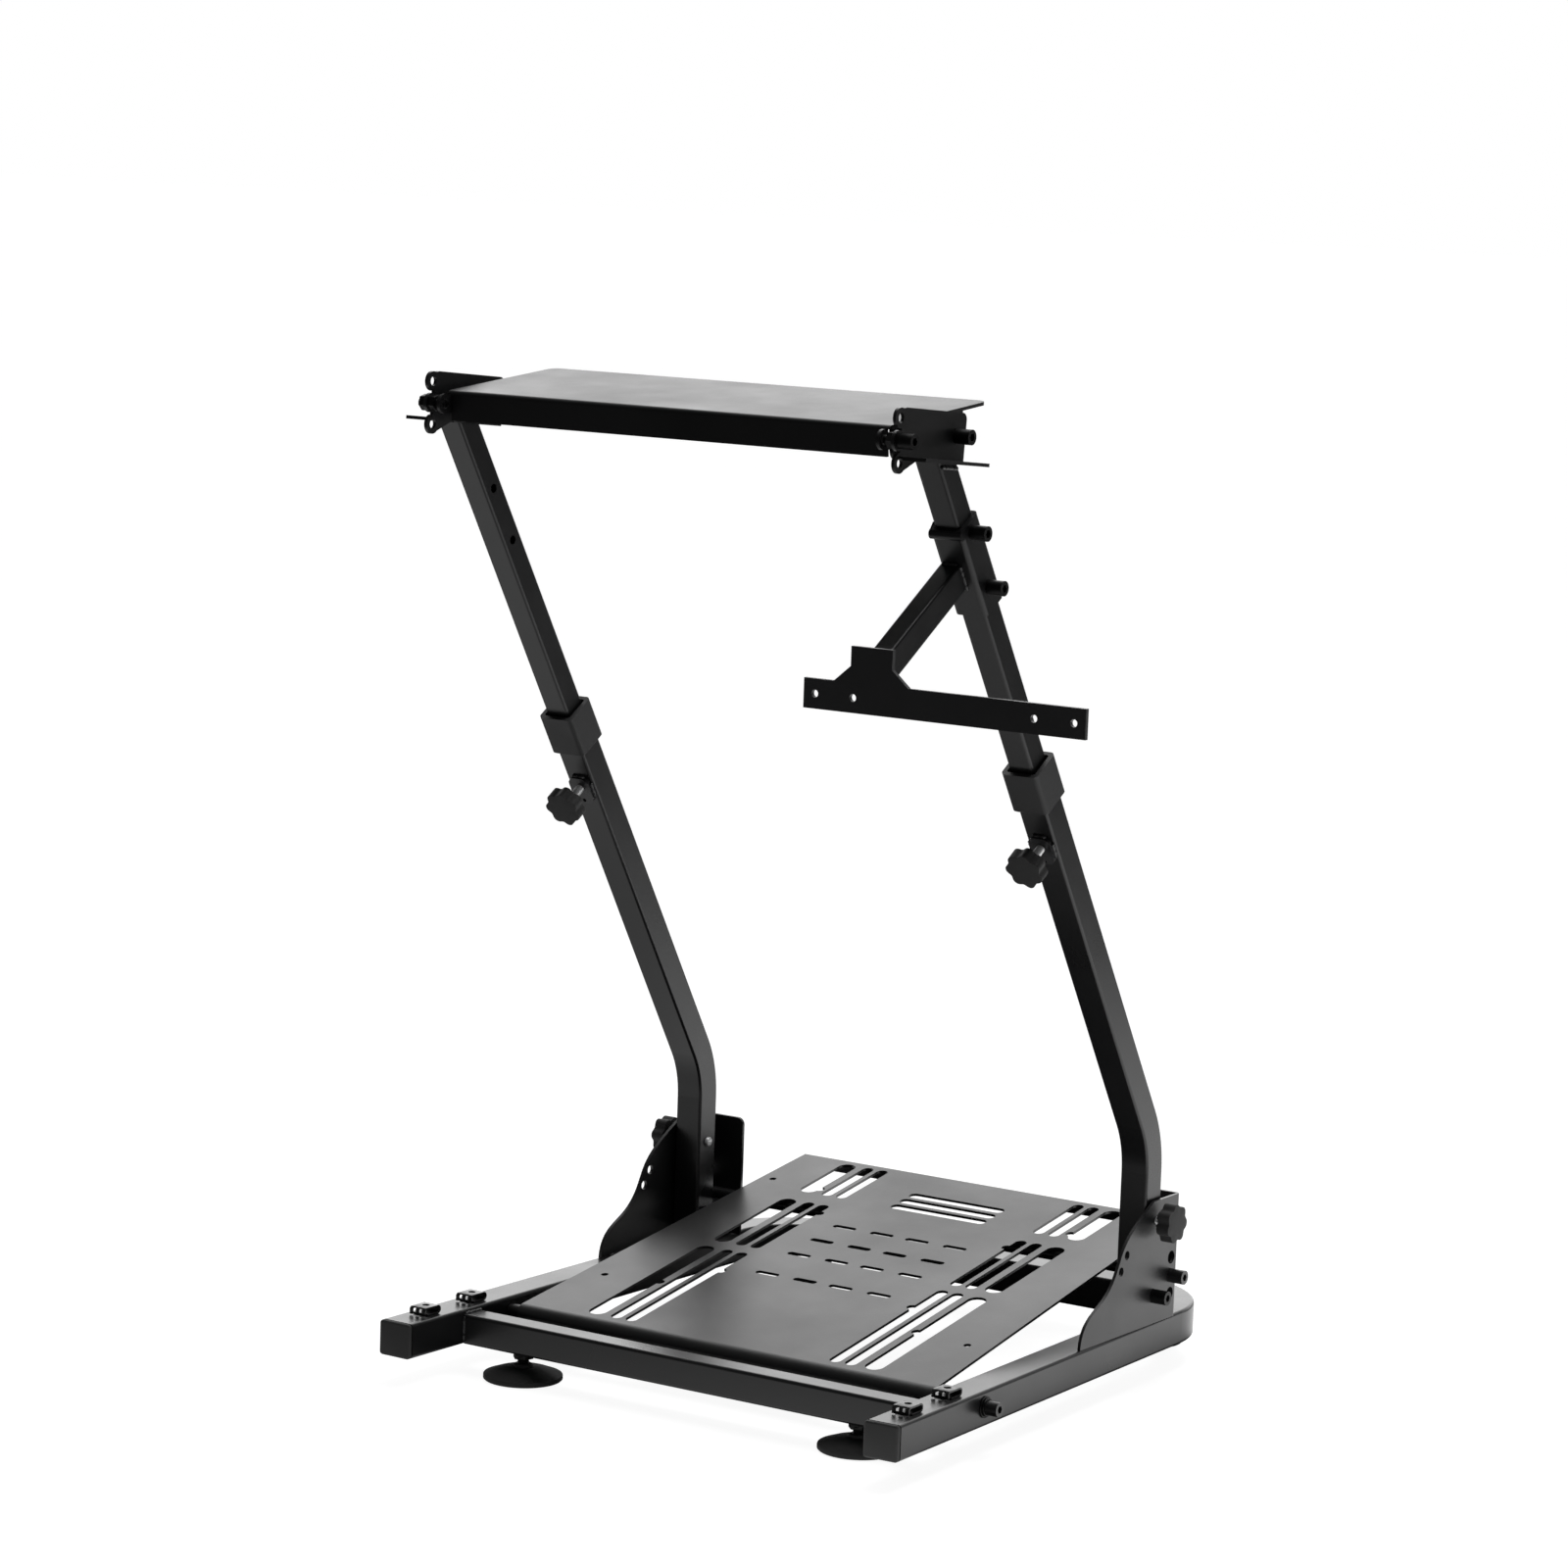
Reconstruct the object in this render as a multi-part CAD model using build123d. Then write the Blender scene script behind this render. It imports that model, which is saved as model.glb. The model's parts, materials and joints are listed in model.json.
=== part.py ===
"""Folding stand for a racing wheel, a set of pedals and a gear shifter.

Millimetres, +Z up, floor at Z = 0, +X to the driver's right, +Y away from the driver.
The origin lies on the floor under the middle of the base frame.
Distances named "from the front" are measured from the front faces of the rail caps.
"""

import os
from math import cos, pi, radians, sin, tan

from build123d import *

# Base frame of bent rectangular tube
base_width = 550.0
base_depth = 606.0
rail_width = 34.0
rail_height = 32.0
rail_wall = 1.5
rail_taper = 1.6
rail_floor_gap = 24.0
rear_corner_radius = 96.0
bend_margin = 4.0
crossbar_from_front = 77.0
crossbar_depth = 25.0
crossbar_height = 28.0
rail_corner = 3.0
weld_gap = 0.05
cap_thickness = 5.0
cap_edge = 2.0
cap_plug = 20.0
cap_clearance = 0.4

# Levelling feet
foot_radius = 36.0
foot_rim = 5.0
foot_dome = 9.0
foot_stem_radius = 5.0
foot_hub_wall = 4.0
foot_offset = 180.0

# Folded clips on top of the rails
clip_length = 38.0
clip_width = 22.0
clip_height = 9.0
clip_sheet = 2.5
clip_bend = 3.0
clip_hole_radius = 3.5
clip_from_front = 44.0
clip_pitch = 66.0

# Gussets that hold the uprights
gusset_sheet = 3.0
gusset_outer = 264.0
gusset_toe = 320.0
gusset_rear = 493.0
gusset_rise = 115.0
gusset_flange = 46.0
gusset_bend = 5.0
gusset_corner = 7.0

# Uprights: a bent lower tube and a straight upper tube that slides in it
upright_offset = 245.5
upright_from_front = 450.0
upright_lean = 32.4
lower_size = 28.0
lower_wall = 1.5
upper_size = 24.0
upper_wall = 1.5
pivot_height = 82.0
foot_below_pivot = 13.0
bend_height = 224.0
bend_radius = 95.0
lower_reach = 428.0
upper_overlap = 147.0
tube_corner = 2.5
collar_size = 36.0
collar_length = 43.0
collar_lip = 8.0
collar_corner = 4.5
collar_chamfer = 2.5
pin_radius = 5.0
running_gap = 0.05
bolt_gap = 0.1

# Star knobs and their studs
knob_radius = 18.0
knob_lobes = 7
knob_thickness = 13.0
knob_scallop = 4.6
knob_lobe_corner = 2.4
knob_edge = 2.0
knob_neck = 4.0
stud_radius = 4.0
stud_gap = 0.5
stud_clearance = 0.3
lock_radius = 70.5
lock_angles = (0.0, 48.0, 61.5)
knob_below_mouth = 72.0
height_knob_stand_off = 38.0
fold_knob_stand_off = 9.0
nut_width = 22.0
nut_height = 28.0
nut_thickness = 4.0
nut_hole_radius = 2.0

# Socket-headed bolts
head_radius = 6.5
socket_radius = 3.6
socket_depth = 6.0
head_length = 15.0
hex_nut_radius = 7.5
hex_nut_thickness = 6.0
thread_end = 2.0

# Wheel deck
deck_sheet = 3.0
deck_half_width = 226.0
deck_depth = 154.0
deck_height = 888.0
deck_ahead = 41.0
deck_lip = 26.0
deck_bend = 4.0
deck_corner = 9.0
deck_tab = 30.0
deck_tab_behind = 40.0
deck_tilt = 5.5
deck_pivot_behind = 82.0
deck_pivot_drop = 11.0
deck_hole_reach = 89.0
deck_hole_step = 12.0
deck_bolt_radius = 4.0
deck_bolt_gap = 1.0

# Top brackets
bracket_sheet = 3.0
bracket_spacing = 11.5
bracket_flange = 28.5
bracket_ahead = 6.0
bracket_length = 100.0
bracket_drop = 28.0
bracket_rise = 40.0
bracket_ear = 8.5
bracket_corner = 6.0
bracket_web = 26.0
bracket_droop = 5.0

# Pedal plate
plate_sheet = 2.5
plate_front_half = 223.3
plate_rear_half = 207.5
plate_length = 451.0
plate_tilt = 9.0
plate_from_front = 140.7
plate_height = 51.2
curl_radius = 10.0
curl_start = 4.5
plate_rear_lip = 12.0
slot_groups = ((12.0, 200.0), (214.0, 339.0), (361.0, 444.0))
slot_columns = ((110.0, 11.5), (126.3, 11.5), (149.0, 18.0))
cross_slot_rows = (365.0, 381.3, 397.6)
cross_slot_length = 105.0
cross_slot_width = 11.5
dash_rows = (165.0, 218.0, 257.0, 296.0)
dash_columns = (19.5, 61.0)
dash_length = 25.0
dash_width = 7.0
notch_radius = 5.0
notches = ((104.25, 152.5), (104.25, 318.0), (140.0, 104.0), (140.0, 374.0))
corner_holes = ((197.0, 97.0), (197.0, 378.0))
corner_hole_radius = 3.5

# Rods that carry the pedal plate
hinge_rod_radius = 7.45
rod_bolt_radius = 4.0
rest_rod_radius = 6.0
rest_rod_from_front = 480.0
rest_rod_gap = 0.4
rest_hole_pitch = 17.0

# Shifter mount on the right upper tube
mount_bolt_drops = (128.3, 72.3)
mount_bolt_radius = 4.0
sleeve_wall = 3.5
sleeve_below = 20.0
sleeve_above = 11.0
sleeve_lip = 4.5
arm_drop = 108.3
arm_width = 20.0
arm_height = 25.0
arm_wall = 1.5
arm_run = 117.8
bar_length = 268.0
bar_height = 25.0
bar_sheet = 4.0
bar_inner_end = 175.0
bar_drop = 30.5
bar_hole_insets = (11.0, 48.0)
bar_hole_radius = 3.2
bar_tab_rise = 30.0
bar_tab_half = 20.0
bar_tab_foot = 36.0
bar_tab_flare = 13.5

# Places that several pieces share
front = -base_depth / 2
rail_bottom = rail_floor_gap
rail_top = rail_bottom + rail_height
taper = tan(radians(rail_taper))
lean = radians(upright_lean)
upright_y = front + upright_from_front
bend = Vector(0, upright_y, bend_height)
along = Vector(0, -sin(lean), cos(lean))
ahead = Vector(0, -cos(lean), -sin(lean))
slope = radians(plate_tilt)
plate_origin = Vector(0, front + plate_from_front, plate_height)
plate_run = Vector(0, cos(slope), sin(slope))
plate_normal = Vector(0, -sin(slope), cos(slope))
hinge = plate_origin + plate_run * curl_start - plate_normal * curl_radius
rest_depth = (plate_sheet + rest_rod_radius + rest_rod_gap) / cos(slope)
rest_rise = (rest_rod_from_front - plate_from_front) * tan(slope)
rest = Vector(0, front + rest_rod_from_front, plate_height + rest_rise - rest_depth)
bracket_height = deck_height - bracket_drop
bracket_inner = deck_half_width + bracket_spacing
tube_top_y = upright_y - (bracket_height - bend_height) * tan(lean)
deck_front = tube_top_y - deck_ahead
deck_pivot = Vector(0, deck_front + deck_pivot_behind, deck_height - deck_pivot_drop)
height_knob_reach = lower_reach - knob_below_mouth
bracket_reach = (bracket_height - bend_height) / cos(lean)
mount_bolt_reaches = [bracket_reach - drop for drop in mount_bolt_drops]
arm_reach = bracket_reach - arm_drop
sleeve_half = upper_size / 2 + sleeve_wall
arm_x = upright_offset - sleeve_half + arm_width / 2
arm_root_y = upright_y - arm_reach * sin(lean) - sleeve_half * cos(lean)
bar_back = arm_root_y - arm_run


def block(x0, x1, y0, y1, z0, z1):
    """Box between two opposite corners."""
    middle = Pos((x0 + x1) / 2, (y0 + y1) / 2, (z0 + z1) / 2)
    return middle * Box(abs(x1 - x0), abs(y1 - y0), abs(z1 - z0))


def cross_rod(x0, x1, place, radius):
    """Round bar along X through a place in the side view."""
    return Pos((x0 + x1) / 2, place.Y, place.Z) * Rot(0, 90, 0) * Cylinder(radius, abs(x1 - x0))


def hex_rod(x0, x1, place, radius):
    """Six-sided bar along X through a place in the side view."""
    plane = Plane(origin=(min(x0, x1), place.Y, place.Z), x_dir=(0, 1, 0), z_dir=(1, 0, 0))
    return extrude(plane * RegularPolygon(radius, 6), abs(x1 - x0))


def cap_head(seat, length, place):
    """Round bolt head with a six-sided socket, outward from a seat at the side of the stand."""
    tip = seat + length if seat > 0 else seat - length
    floor = tip - socket_depth if seat > 0 else tip + socket_depth
    return cross_rod(seat, tip, place, head_radius) - hex_rod(floor, tip, place, socket_radius)


def tube_profile(width, height, wall, corner):
    """Section of a hollow tube with rounded corners."""
    outside = RectangleRounded(width, height, corner)
    return outside - RectangleRounded(width - 2 * wall, height - 2 * wall, max(corner - wall, 0.3))


def edges_along(part, axis, **place):
    """Straight edges along an axis whose middles lie at the given coordinates."""
    found = part.edges().filter_by(axis)
    for name, value in place.items():
        found = found.filter_by(lambda edge: abs(getattr(edge.center(), name) - value) < 0.01)
    return found


def outer_half(distance):
    """Outer half width of the base at a distance from the front."""
    return base_width / 2 - taper * distance


def inner_half(distance):
    """Half width between the rails at a distance from the front, less the weld gap."""
    return outer_half(distance) - rail_width - weld_gap


def on_upright(reach, forward=0.0, x=0.0):
    """Point at a reach up the leaning tube from its bend, moved ahead of the tube's middle."""
    return bend + along * reach + ahead * forward + Vector(x, 0, 0)


def across_upright(reach):
    """Plane square to the right leaning tube."""
    return Plane(origin=on_upright(reach, 0, upright_offset), x_dir=(1, 0, 0), z_dir=along)


def facing_driver(reach, forward):
    """Plane parallel to the front face of the right leaning tube."""
    return Plane(origin=on_upright(reach, forward, upright_offset), x_dir=(1, 0, 0), z_dir=ahead)


def rail_tube(path):
    """Rounded rectangular tube swept along a level path."""
    start = Plane(origin=path @ 0, x_dir=(path % 0).cross(Vector(0, 0, 1)), z_dir=path % 0)
    return sweep(start * tube_profile(rail_width, rail_height, rail_wall, rail_corner), path=path)


def rail_point(x, distance):
    """Point on the middle line of the base tubes."""
    return (x, front + distance, rail_bottom + rail_height / 2)


def side_rail():
    """Straight right rail, from its cap back to the rear bend."""
    bend_start = base_depth - rear_corner_radius - bend_margin
    half = rail_width / 2
    start = rail_point(outer_half(cap_thickness) - half, cap_thickness)
    end = rail_point(outer_half(bend_start) - half, bend_start)
    near = inner_half(base_depth) - rail_width
    return rail_tube(Line(start, end)) - cross_rod(near, base_width, hinge, rod_bolt_radius + bolt_gap)


def rear_bow():
    """Rear tube with a rounded corner at each end."""
    bend_start = base_depth - rear_corner_radius - bend_margin
    half = rail_width / 2
    side = outer_half(bend_start) - half
    rear = base_depth - half
    corner = outer_half(rear) - half
    path = FilletPolyline(
        rail_point(-side, bend_start),
        rail_point(-corner, rear),
        rail_point(corner, rear),
        rail_point(side, bend_start),
        radius=rear_corner_radius - half,
    )
    return rail_tube(path)


def end_cap():
    """Plastic cap with a plug that fits in the right rail."""
    section = Plane(origin=(0, 0, 0), x_dir=(1, 0, 0), z_dir=(0, 1, 0))
    face = extrude(section * RectangleRounded(rail_width, rail_height, rail_corner), cap_thickness)
    face = fillet(face.faces().sort_by(Axis.Y)[0].edges(), cap_edge)
    shrink = 2 * rail_wall + cap_clearance
    outline = RectangleRounded(rail_width - shrink, rail_height - shrink, rail_corner - rail_wall)
    plug = extrude(section.offset(cap_thickness) * outline, cap_plug)
    middle = Pos(outer_half(0) - rail_width / 2, front, rail_bottom + rail_height / 2)
    return middle * Rot(0, 0, rail_taper) * (face + plug)


def front_crossbar():
    """Front cross tube, mitred to the two rails."""
    y0 = front + crossbar_from_front
    y1 = y0 + crossbar_depth
    x0 = inner_half(crossbar_from_front)
    x1 = inner_half(crossbar_from_front + crossbar_depth)
    middle = (-x0, (y0 + y1) / 2, rail_bottom + crossbar_height / 2)
    section = Plane(origin=middle, x_dir=(0, 1, 0), z_dir=(1, 0, 0))
    profile = tube_profile(crossbar_depth, crossbar_height, rail_wall, rail_corner)
    outline = Polyline((-x0, y0), (x0, y0), (x1, y1), (-x1, y1), close=True)
    return extrude(section * profile, 2 * x0) & extrude(make_face(outline), base_width)


def levelling_foot(x, y):
    """Domed disc on a stem, under a tube."""
    shoulder = foot_rim + foot_dome
    hub = foot_stem_radius + foot_hub_wall
    rim = Polyline((0, 0), (foot_radius - 1, 0), (foot_radius, 1), (foot_radius, foot_rim))
    dome = ThreePointArc(
        (foot_radius, foot_rim),
        (foot_radius * 0.68, foot_rim + foot_dome * 0.62),
        (hub, shoulder),
    )
    stem = Polyline(
        (hub, shoulder),
        (foot_stem_radius, shoulder),
        (foot_stem_radius, rail_bottom),
        (0, rail_bottom),
        (0, 0),
    )
    return Pos(x, y, 0) * revolve(Plane.XZ * make_face([rim, dome, stem]), Axis.Z)


def rail_clip(distance):
    """Folded clip with a hole, on top of the right rail."""
    outside = Box(clip_width, clip_length, clip_height)
    inside = Pos(0, 0, -clip_sheet) * Box(clip_width, clip_length - 2 * clip_sheet, clip_height)
    outside = fillet(edges_along(outside, Axis.X, Z=clip_height / 2), clip_bend)
    clip = outside - inside - Cylinder(clip_hole_radius, 2 * clip_height)
    middle = Pos(outer_half(distance) - rail_width / 2, front + distance, rail_top + clip_height / 2)
    return middle * Rot(0, 0, rail_taper) * clip


def lock_hole(angle):
    """Place of a fold-lock hole, turned forward about the fold pivot."""
    turn = radians(angle)
    return Vector(0, upright_y - lock_radius * sin(turn), pivot_height + lock_radius * cos(turn))


def gusset():
    """Right gusset: an S-curved plate on the rail, with a flange behind the upright."""
    toe = front + gusset_toe
    rear = front + gusset_rear
    top = rail_top + gusset_rise
    run = gusset_rear - gusset_toe
    curve = Spline(
        (toe, rail_top),
        (toe + 0.08 * run, rail_top + 0.22 * gusset_rise),
        (toe + 0.24 * run, rail_top + 0.35 * gusset_rise),
        (toe + 0.34 * run, rail_top + 0.50 * gusset_rise),
        (toe + 0.41 * run, rail_top + 0.68 * gusset_rise),
        (toe + 0.55 * run, rail_top + 0.86 * gusset_rise),
        (toe + 0.72 * run, top),
    )
    straight = Polyline((toe + 0.72 * run, top), (rear, top), (rear, rail_top), (toe, rail_top))
    inner = gusset_outer - gusset_sheet
    plate = Pos(inner, 0, 0) * extrude(Plane.YZ * make_face([curve, straight]), gusset_sheet)
    flange = block(gusset_outer - gusset_flange, gusset_outer, rear - gusset_sheet, rear, rail_top, top)
    holes = [(Vector(0, upright_y, pivot_height), pin_radius + bolt_gap)]
    for angle in lock_angles:
        holes.append((lock_hole(angle), stud_radius + stud_clearance))
    for step in (-1, 0, 1):
        holes.append((rest + Vector(0, 0, step * rest_hole_pitch), rest_rod_radius + bolt_gap))
    part = plate + flange
    part = fillet(edges_along(part, Axis.Z, X=gusset_outer, Y=rear), gusset_bend)
    part = fillet(edges_along(part, Axis.Y, X=gusset_outer - gusset_flange, Z=top), gusset_corner)
    for place, radius in holes:
        part -= cross_rod(inner - gusset_sheet, gusset_outer + gusset_sheet, place, radius)
    return part


def pivot_bolt():
    """Bolt that the right upright folds about, with its nut inside."""
    pivot = Vector(0, upright_y, pivot_height)
    nut_outer = upright_offset - lower_size / 2 - stud_gap
    nut_inner = nut_outer - hex_nut_thickness
    shank = cross_rod(nut_inner - thread_end, gusset_outer, pivot, pin_radius)
    nut = hex_rod(nut_inner, nut_outer, pivot, hex_nut_radius)
    return shank + nut + cap_head(gusset_outer, head_length, pivot)


def lower_tube():
    """Right lower upright, bent forward above its pivot."""
    top = on_upright(lower_reach)
    path = FilletPolyline(
        (upright_offset, upright_y, pivot_height - foot_below_pivot),
        (upright_offset, upright_y, bend_height),
        (upright_offset, top.Y, top.Z),
        radius=bend_radius,
    )
    start = Plane(origin=path @ 0, x_dir=(1, 0, 0), z_dir=path % 0)
    tube = sweep(start * tube_profile(lower_size, lower_size, lower_wall, tube_corner), path=path)
    near, far = upright_offset - lower_size, upright_offset + lower_size
    tube -= cross_rod(near, far, Vector(0, upright_y, pivot_height), pin_radius + running_gap)
    tube -= extrude(facing_driver(height_knob_reach, 0) * Circle(stud_radius + stud_clearance), lower_size)
    return tube


def collar():
    """Plastic collar round the mouth of the right lower tube."""
    plane = across_upright(lower_reach + collar_lip - collar_length)
    body = extrude(plane * RectangleRounded(collar_size, collar_size, collar_corner), collar_length)
    body = chamfer(body.faces().sort_by(Axis(body.center(), along))[0].edges(), collar_chamfer)
    seat = RectangleRounded(lower_size, lower_size, tube_corner)
    return body - extrude(plane * seat, collar_length)


def weld_nut():
    """Threaded plate with a rounded top on the front of the right lower tube."""
    plane = facing_driver(height_knob_reach, lower_size / 2)
    outline = RectangleRounded(nut_width, nut_height, nut_width / 3)
    body = extrude(plane * Pos(0, -(nut_height - nut_width) / 2) * outline, nut_thickness)
    body -= extrude(plane * Circle(stud_radius + stud_clearance), nut_thickness)
    small = Pos(0, -nut_height / 2) * Circle(nut_hole_radius)
    return body - extrude(plane * small, nut_thickness)


def star_knob(plane, grip):
    """Lobed hand knob: its stud starts on the plane and its grip begins further out."""
    outline = Circle(knob_radius)
    for index in range(knob_lobes):
        turn = 2 * pi * index / knob_lobes
        reach = knob_radius + knob_scallop / 3
        outline -= Pos(reach * cos(turn), reach * sin(turn)) * Circle(knob_scallop)
    outline = fillet(outline.vertices(), knob_lobe_corner)
    head = extrude(plane.offset(grip) * outline, knob_thickness)
    head = fillet(head.faces().sort_by(Axis(plane.origin, plane.z_dir))[-1].edges(), knob_edge)
    neck = Cone(knob_radius * 0.5, knob_radius * 0.62, knob_neck)
    hub = plane.offset(grip - knob_neck / 2) * neck
    stud = extrude(plane * Circle(stud_radius), grip)
    return head + hub + stud


def height_knob():
    """Knob that clamps the right upper tube."""
    start = upper_size / 2 + stud_gap
    return star_knob(facing_driver(height_knob_reach, start), height_knob_stand_off - start)


def fold_knob():
    """Knob that locks the right upright in its gusset."""
    start = upright_offset + lower_size / 2 + stud_gap
    lock = lock_hole(0)
    plane = Plane(origin=(start, lock.Y, lock.Z), x_dir=(0, 1, 0), z_dir=(1, 0, 0))
    return star_knob(plane, gusset_outer + fold_knob_stand_off - start)


def bracket_plane():
    """Side-view plane of the right bracket, with its origin on the flange's top."""
    droop = radians(bracket_droop)
    middle = deck_front - bracket_ahead + bracket_length / 2
    return Plane(
        origin=(bracket_inner, middle, bracket_height),
        x_dir=(0, cos(droop), -sin(droop)),
        z_dir=(1, 0, 0),
    )


def upper_tube():
    """Right upper upright, cut to the bracket and drilled for the shifter mount."""
    bottom = lower_reach - upper_overlap
    length = 2 * deck_height
    profile = tube_profile(upper_size, upper_size, upper_wall, tube_corner)
    tube = extrude(across_upright(bottom) * profile, length)
    above = Pos(0, length / 2 - bracket_sheet) * Rectangle(length, length)
    tube -= extrude(bracket_plane() * above, 4 * upper_size, both=True)
    near, far = upright_offset - upper_size, upright_offset + upper_size
    for reach in mount_bolt_reaches:
        tube -= cross_rod(near, far, on_upright(reach), mount_bolt_radius + bolt_gap)
    return tube


def deck_hole(step):
    """Place of one of the bracket's front holes, for one deck angle."""
    turn = radians(deck_hole_step * step)
    return deck_pivot + Vector(0, -cos(turn), sin(turn)) * deck_hole_reach


def top_bracket():
    """Right top bracket: a side plate with three front ears and an outward flange on the tube."""
    plane = bracket_plane()
    half = bracket_length / 2
    ears = [plane.to_local_coords(deck_hole(step)) for step in (-1, 0, 1)]
    body = Rectangle(bracket_length, bracket_rise + bracket_sheet)
    body = Pos(0, (bracket_rise - bracket_sheet) / 2) * body
    body = fillet(body.vertices().group_by(Axis.Y)[-1], bracket_corner)
    low = ears[0]
    web = Polyline(
        (low.X, low.Y - bracket_ear),
        (-half + bracket_web, -bracket_sheet),
        (-half, 0),
        (low.X, low.Y),
        close=True,
    )
    outline = body + make_face(web)
    for ear in ears:
        outline += Pos(ear.X, ear.Y) * Circle(bracket_ear)
        outline += Pos((ear.X - half) / 2, ear.Y) * Rectangle(abs(ear.X + half), bracket_ear)
    part = extrude(plane * outline, bracket_sheet)
    strip = Pos(0, -bracket_sheet / 2) * Rectangle(bracket_length, bracket_sheet)
    part += extrude(plane * strip, bracket_flange)
    near, far = bracket_inner - bracket_sheet, bracket_inner + 2 * bracket_sheet
    for place in (deck_pivot, deck_hole(-1), deck_hole(0), deck_hole(1)):
        part -= cross_rod(near, far, place, deck_bolt_radius + bolt_gap)
    return part


def wheel_deck():
    """Folded deck with a front lip, and a side tab at each end with an ear for the lock bolt."""
    half = deck_half_width
    body = block(-half, half, 0, deck_depth, -deck_sheet, 0)
    body += block(-half + deck_sheet, half - deck_sheet, 0, deck_sheet, -deck_lip, 0)
    body = fillet(edges_along(body, Axis.X, Y=0, Z=0), deck_bend)
    body = fillet(edges_along(body, Axis.Z, Y=deck_depth), deck_corner)
    tab_rear = deck_depth - deck_tab_behind
    for side in (-1, 1):
        tab = block(side * (half - deck_sheet), side * half, deck_bend, tab_rear, -deck_tab, 0)
        tab = fillet(edges_along(tab, Axis.X, Z=-deck_tab), deck_corner)
        body += fillet(edges_along(tab, Axis.Y, X=side * half, Z=0), deck_sheet - 0.5)
    body = Pos(0, deck_front, deck_height) * Rot(deck_tilt, 0, 0) * body
    ear = deck_hole(0)
    for side in (-1, 1):
        inner, outer = side * (half - deck_sheet), side * half
        body += cross_rod(inner, outer, ear, bracket_ear)
        depth = deck_front + 2 * deck_bend
        body += block(inner, outer, ear.Y, depth, ear.Z - bracket_ear, ear.Z + bracket_ear / 2)
    near, far = -half - deck_sheet, half + deck_sheet
    body -= cross_rod(near, far, deck_pivot, deck_bolt_radius + running_gap)
    body -= cross_rod(near, far, ear, deck_bolt_radius + stud_clearance)
    return body


def deck_pivot_bolt():
    """Bolt that the deck tilts on, with a spacer and a nut inside the deck's right tab."""
    seat = bracket_inner + bracket_sheet
    tab = deck_half_width - deck_sheet - stud_gap
    shank = cross_rod(tab - hex_nut_thickness - thread_end, seat, deck_pivot, deck_bolt_radius)
    spacer = cross_rod(deck_half_width + weld_gap, bracket_inner - weld_gap, deck_pivot, hex_nut_radius)
    nut = hex_rod(tab - hex_nut_thickness, tab, deck_pivot, hex_nut_radius)
    return shank + spacer + nut + cap_head(seat, head_length, deck_pivot)


def deck_lock_bolt():
    """Bolt that sets the deck's angle, with a nut on the inside of the right bracket."""
    seat = bracket_inner + bracket_sheet
    place = deck_hole(0)
    shank = cross_rod(deck_half_width + deck_bolt_gap, seat, place, deck_bolt_radius)
    nut = hex_rod(bracket_inner - hex_nut_thickness, bracket_inner - weld_gap, place, hex_nut_radius)
    return shank + nut + cap_head(seat, head_length, place)


def plate_plane():
    """Plane of the pedal plate's top, with its origin at the middle of the front edge."""
    return Plane(origin=plate_origin, x_dir=(1, 0, 0), z_dir=plate_normal)


def plate_sheet_outline():
    """Tapered outline of the pedal plate with its slots, dashes, notches and holes."""
    outline = Polyline(
        (-plate_front_half, curl_start),
        (plate_front_half, curl_start),
        (plate_rear_half, plate_length),
        (-plate_rear_half, plate_length),
        close=True,
    )
    sheet = make_face(outline)
    for side in (-1, 1):
        for start, end in slot_groups:
            for offset, width in slot_columns:
                slot = Rot(0, 0, 90) * SlotOverall(end - start, width)
                sheet -= Pos(side * offset, (start + end) / 2) * slot
        for distance in dash_rows:
            for offset in dash_columns:
                sheet -= Pos(side * offset, distance) * SlotOverall(dash_length, dash_width)
        for offset, distance in notches:
            sheet -= Pos(side * offset, distance) * Circle(notch_radius)
        for offset, distance in corner_holes:
            sheet -= Pos(side * offset, distance) * Circle(corner_hole_radius)
    for distance in cross_slot_rows:
        sheet -= Pos(0, distance) * SlotOverall(cross_slot_length, cross_slot_width)
    return sheet


def pedal_plate():
    """Slotted plate with a rear lip and a front edge curled round the hinge rod."""
    plate = extrude(plate_plane() * plate_sheet_outline(), -plate_sheet)
    lip = Pos(0, plate_length - plate_sheet / 2) * Rectangle(2 * plate_rear_half, plate_sheet)
    plate += extrude(plate_plane() * lip, -plate_rear_lip)
    ring = Circle(curl_radius) - Circle(curl_radius - plate_sheet)
    reach = 3 * curl_radius
    mouth = make_face(Polyline((0, 0), (0, reach), (reach, reach), (reach, -0.6 * reach), close=True))
    curl_plane = Plane(origin=hinge - Vector(plate_front_half, 0, 0), x_dir=plate_run, z_dir=(1, 0, 0))
    plate += extrude(curl_plane * (ring - mouth), 2 * plate_front_half)
    return plate


def bolted_rod(place, inner, outer, radius, end_radius):
    """Cross rod between two walls, with a socket-headed end through each wall."""
    rod = cross_rod(-inner, inner, place, radius)
    rod += cross_rod(-outer, outer, place, end_radius)
    for side in (-1, 1):
        rod += cap_head(side * outer, head_length, place)
    return rod


def hinge_rod():
    """Rod between the rails that the pedal plate's curl turns on."""
    distance = hinge.Y - front
    inner = inner_half(distance + hinge_rod_radius)
    outer = outer_half(distance - head_radius) + weld_gap
    return bolted_rod(hinge, inner, outer, hinge_rod_radius, rod_bolt_radius)


def rest_rod():
    """Rod between the gussets that the pedal plate rests on."""
    return bolted_rod(rest, gusset_outer - gusset_sheet, gusset_outer, rest_rod_radius, rest_rod_radius)


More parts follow.
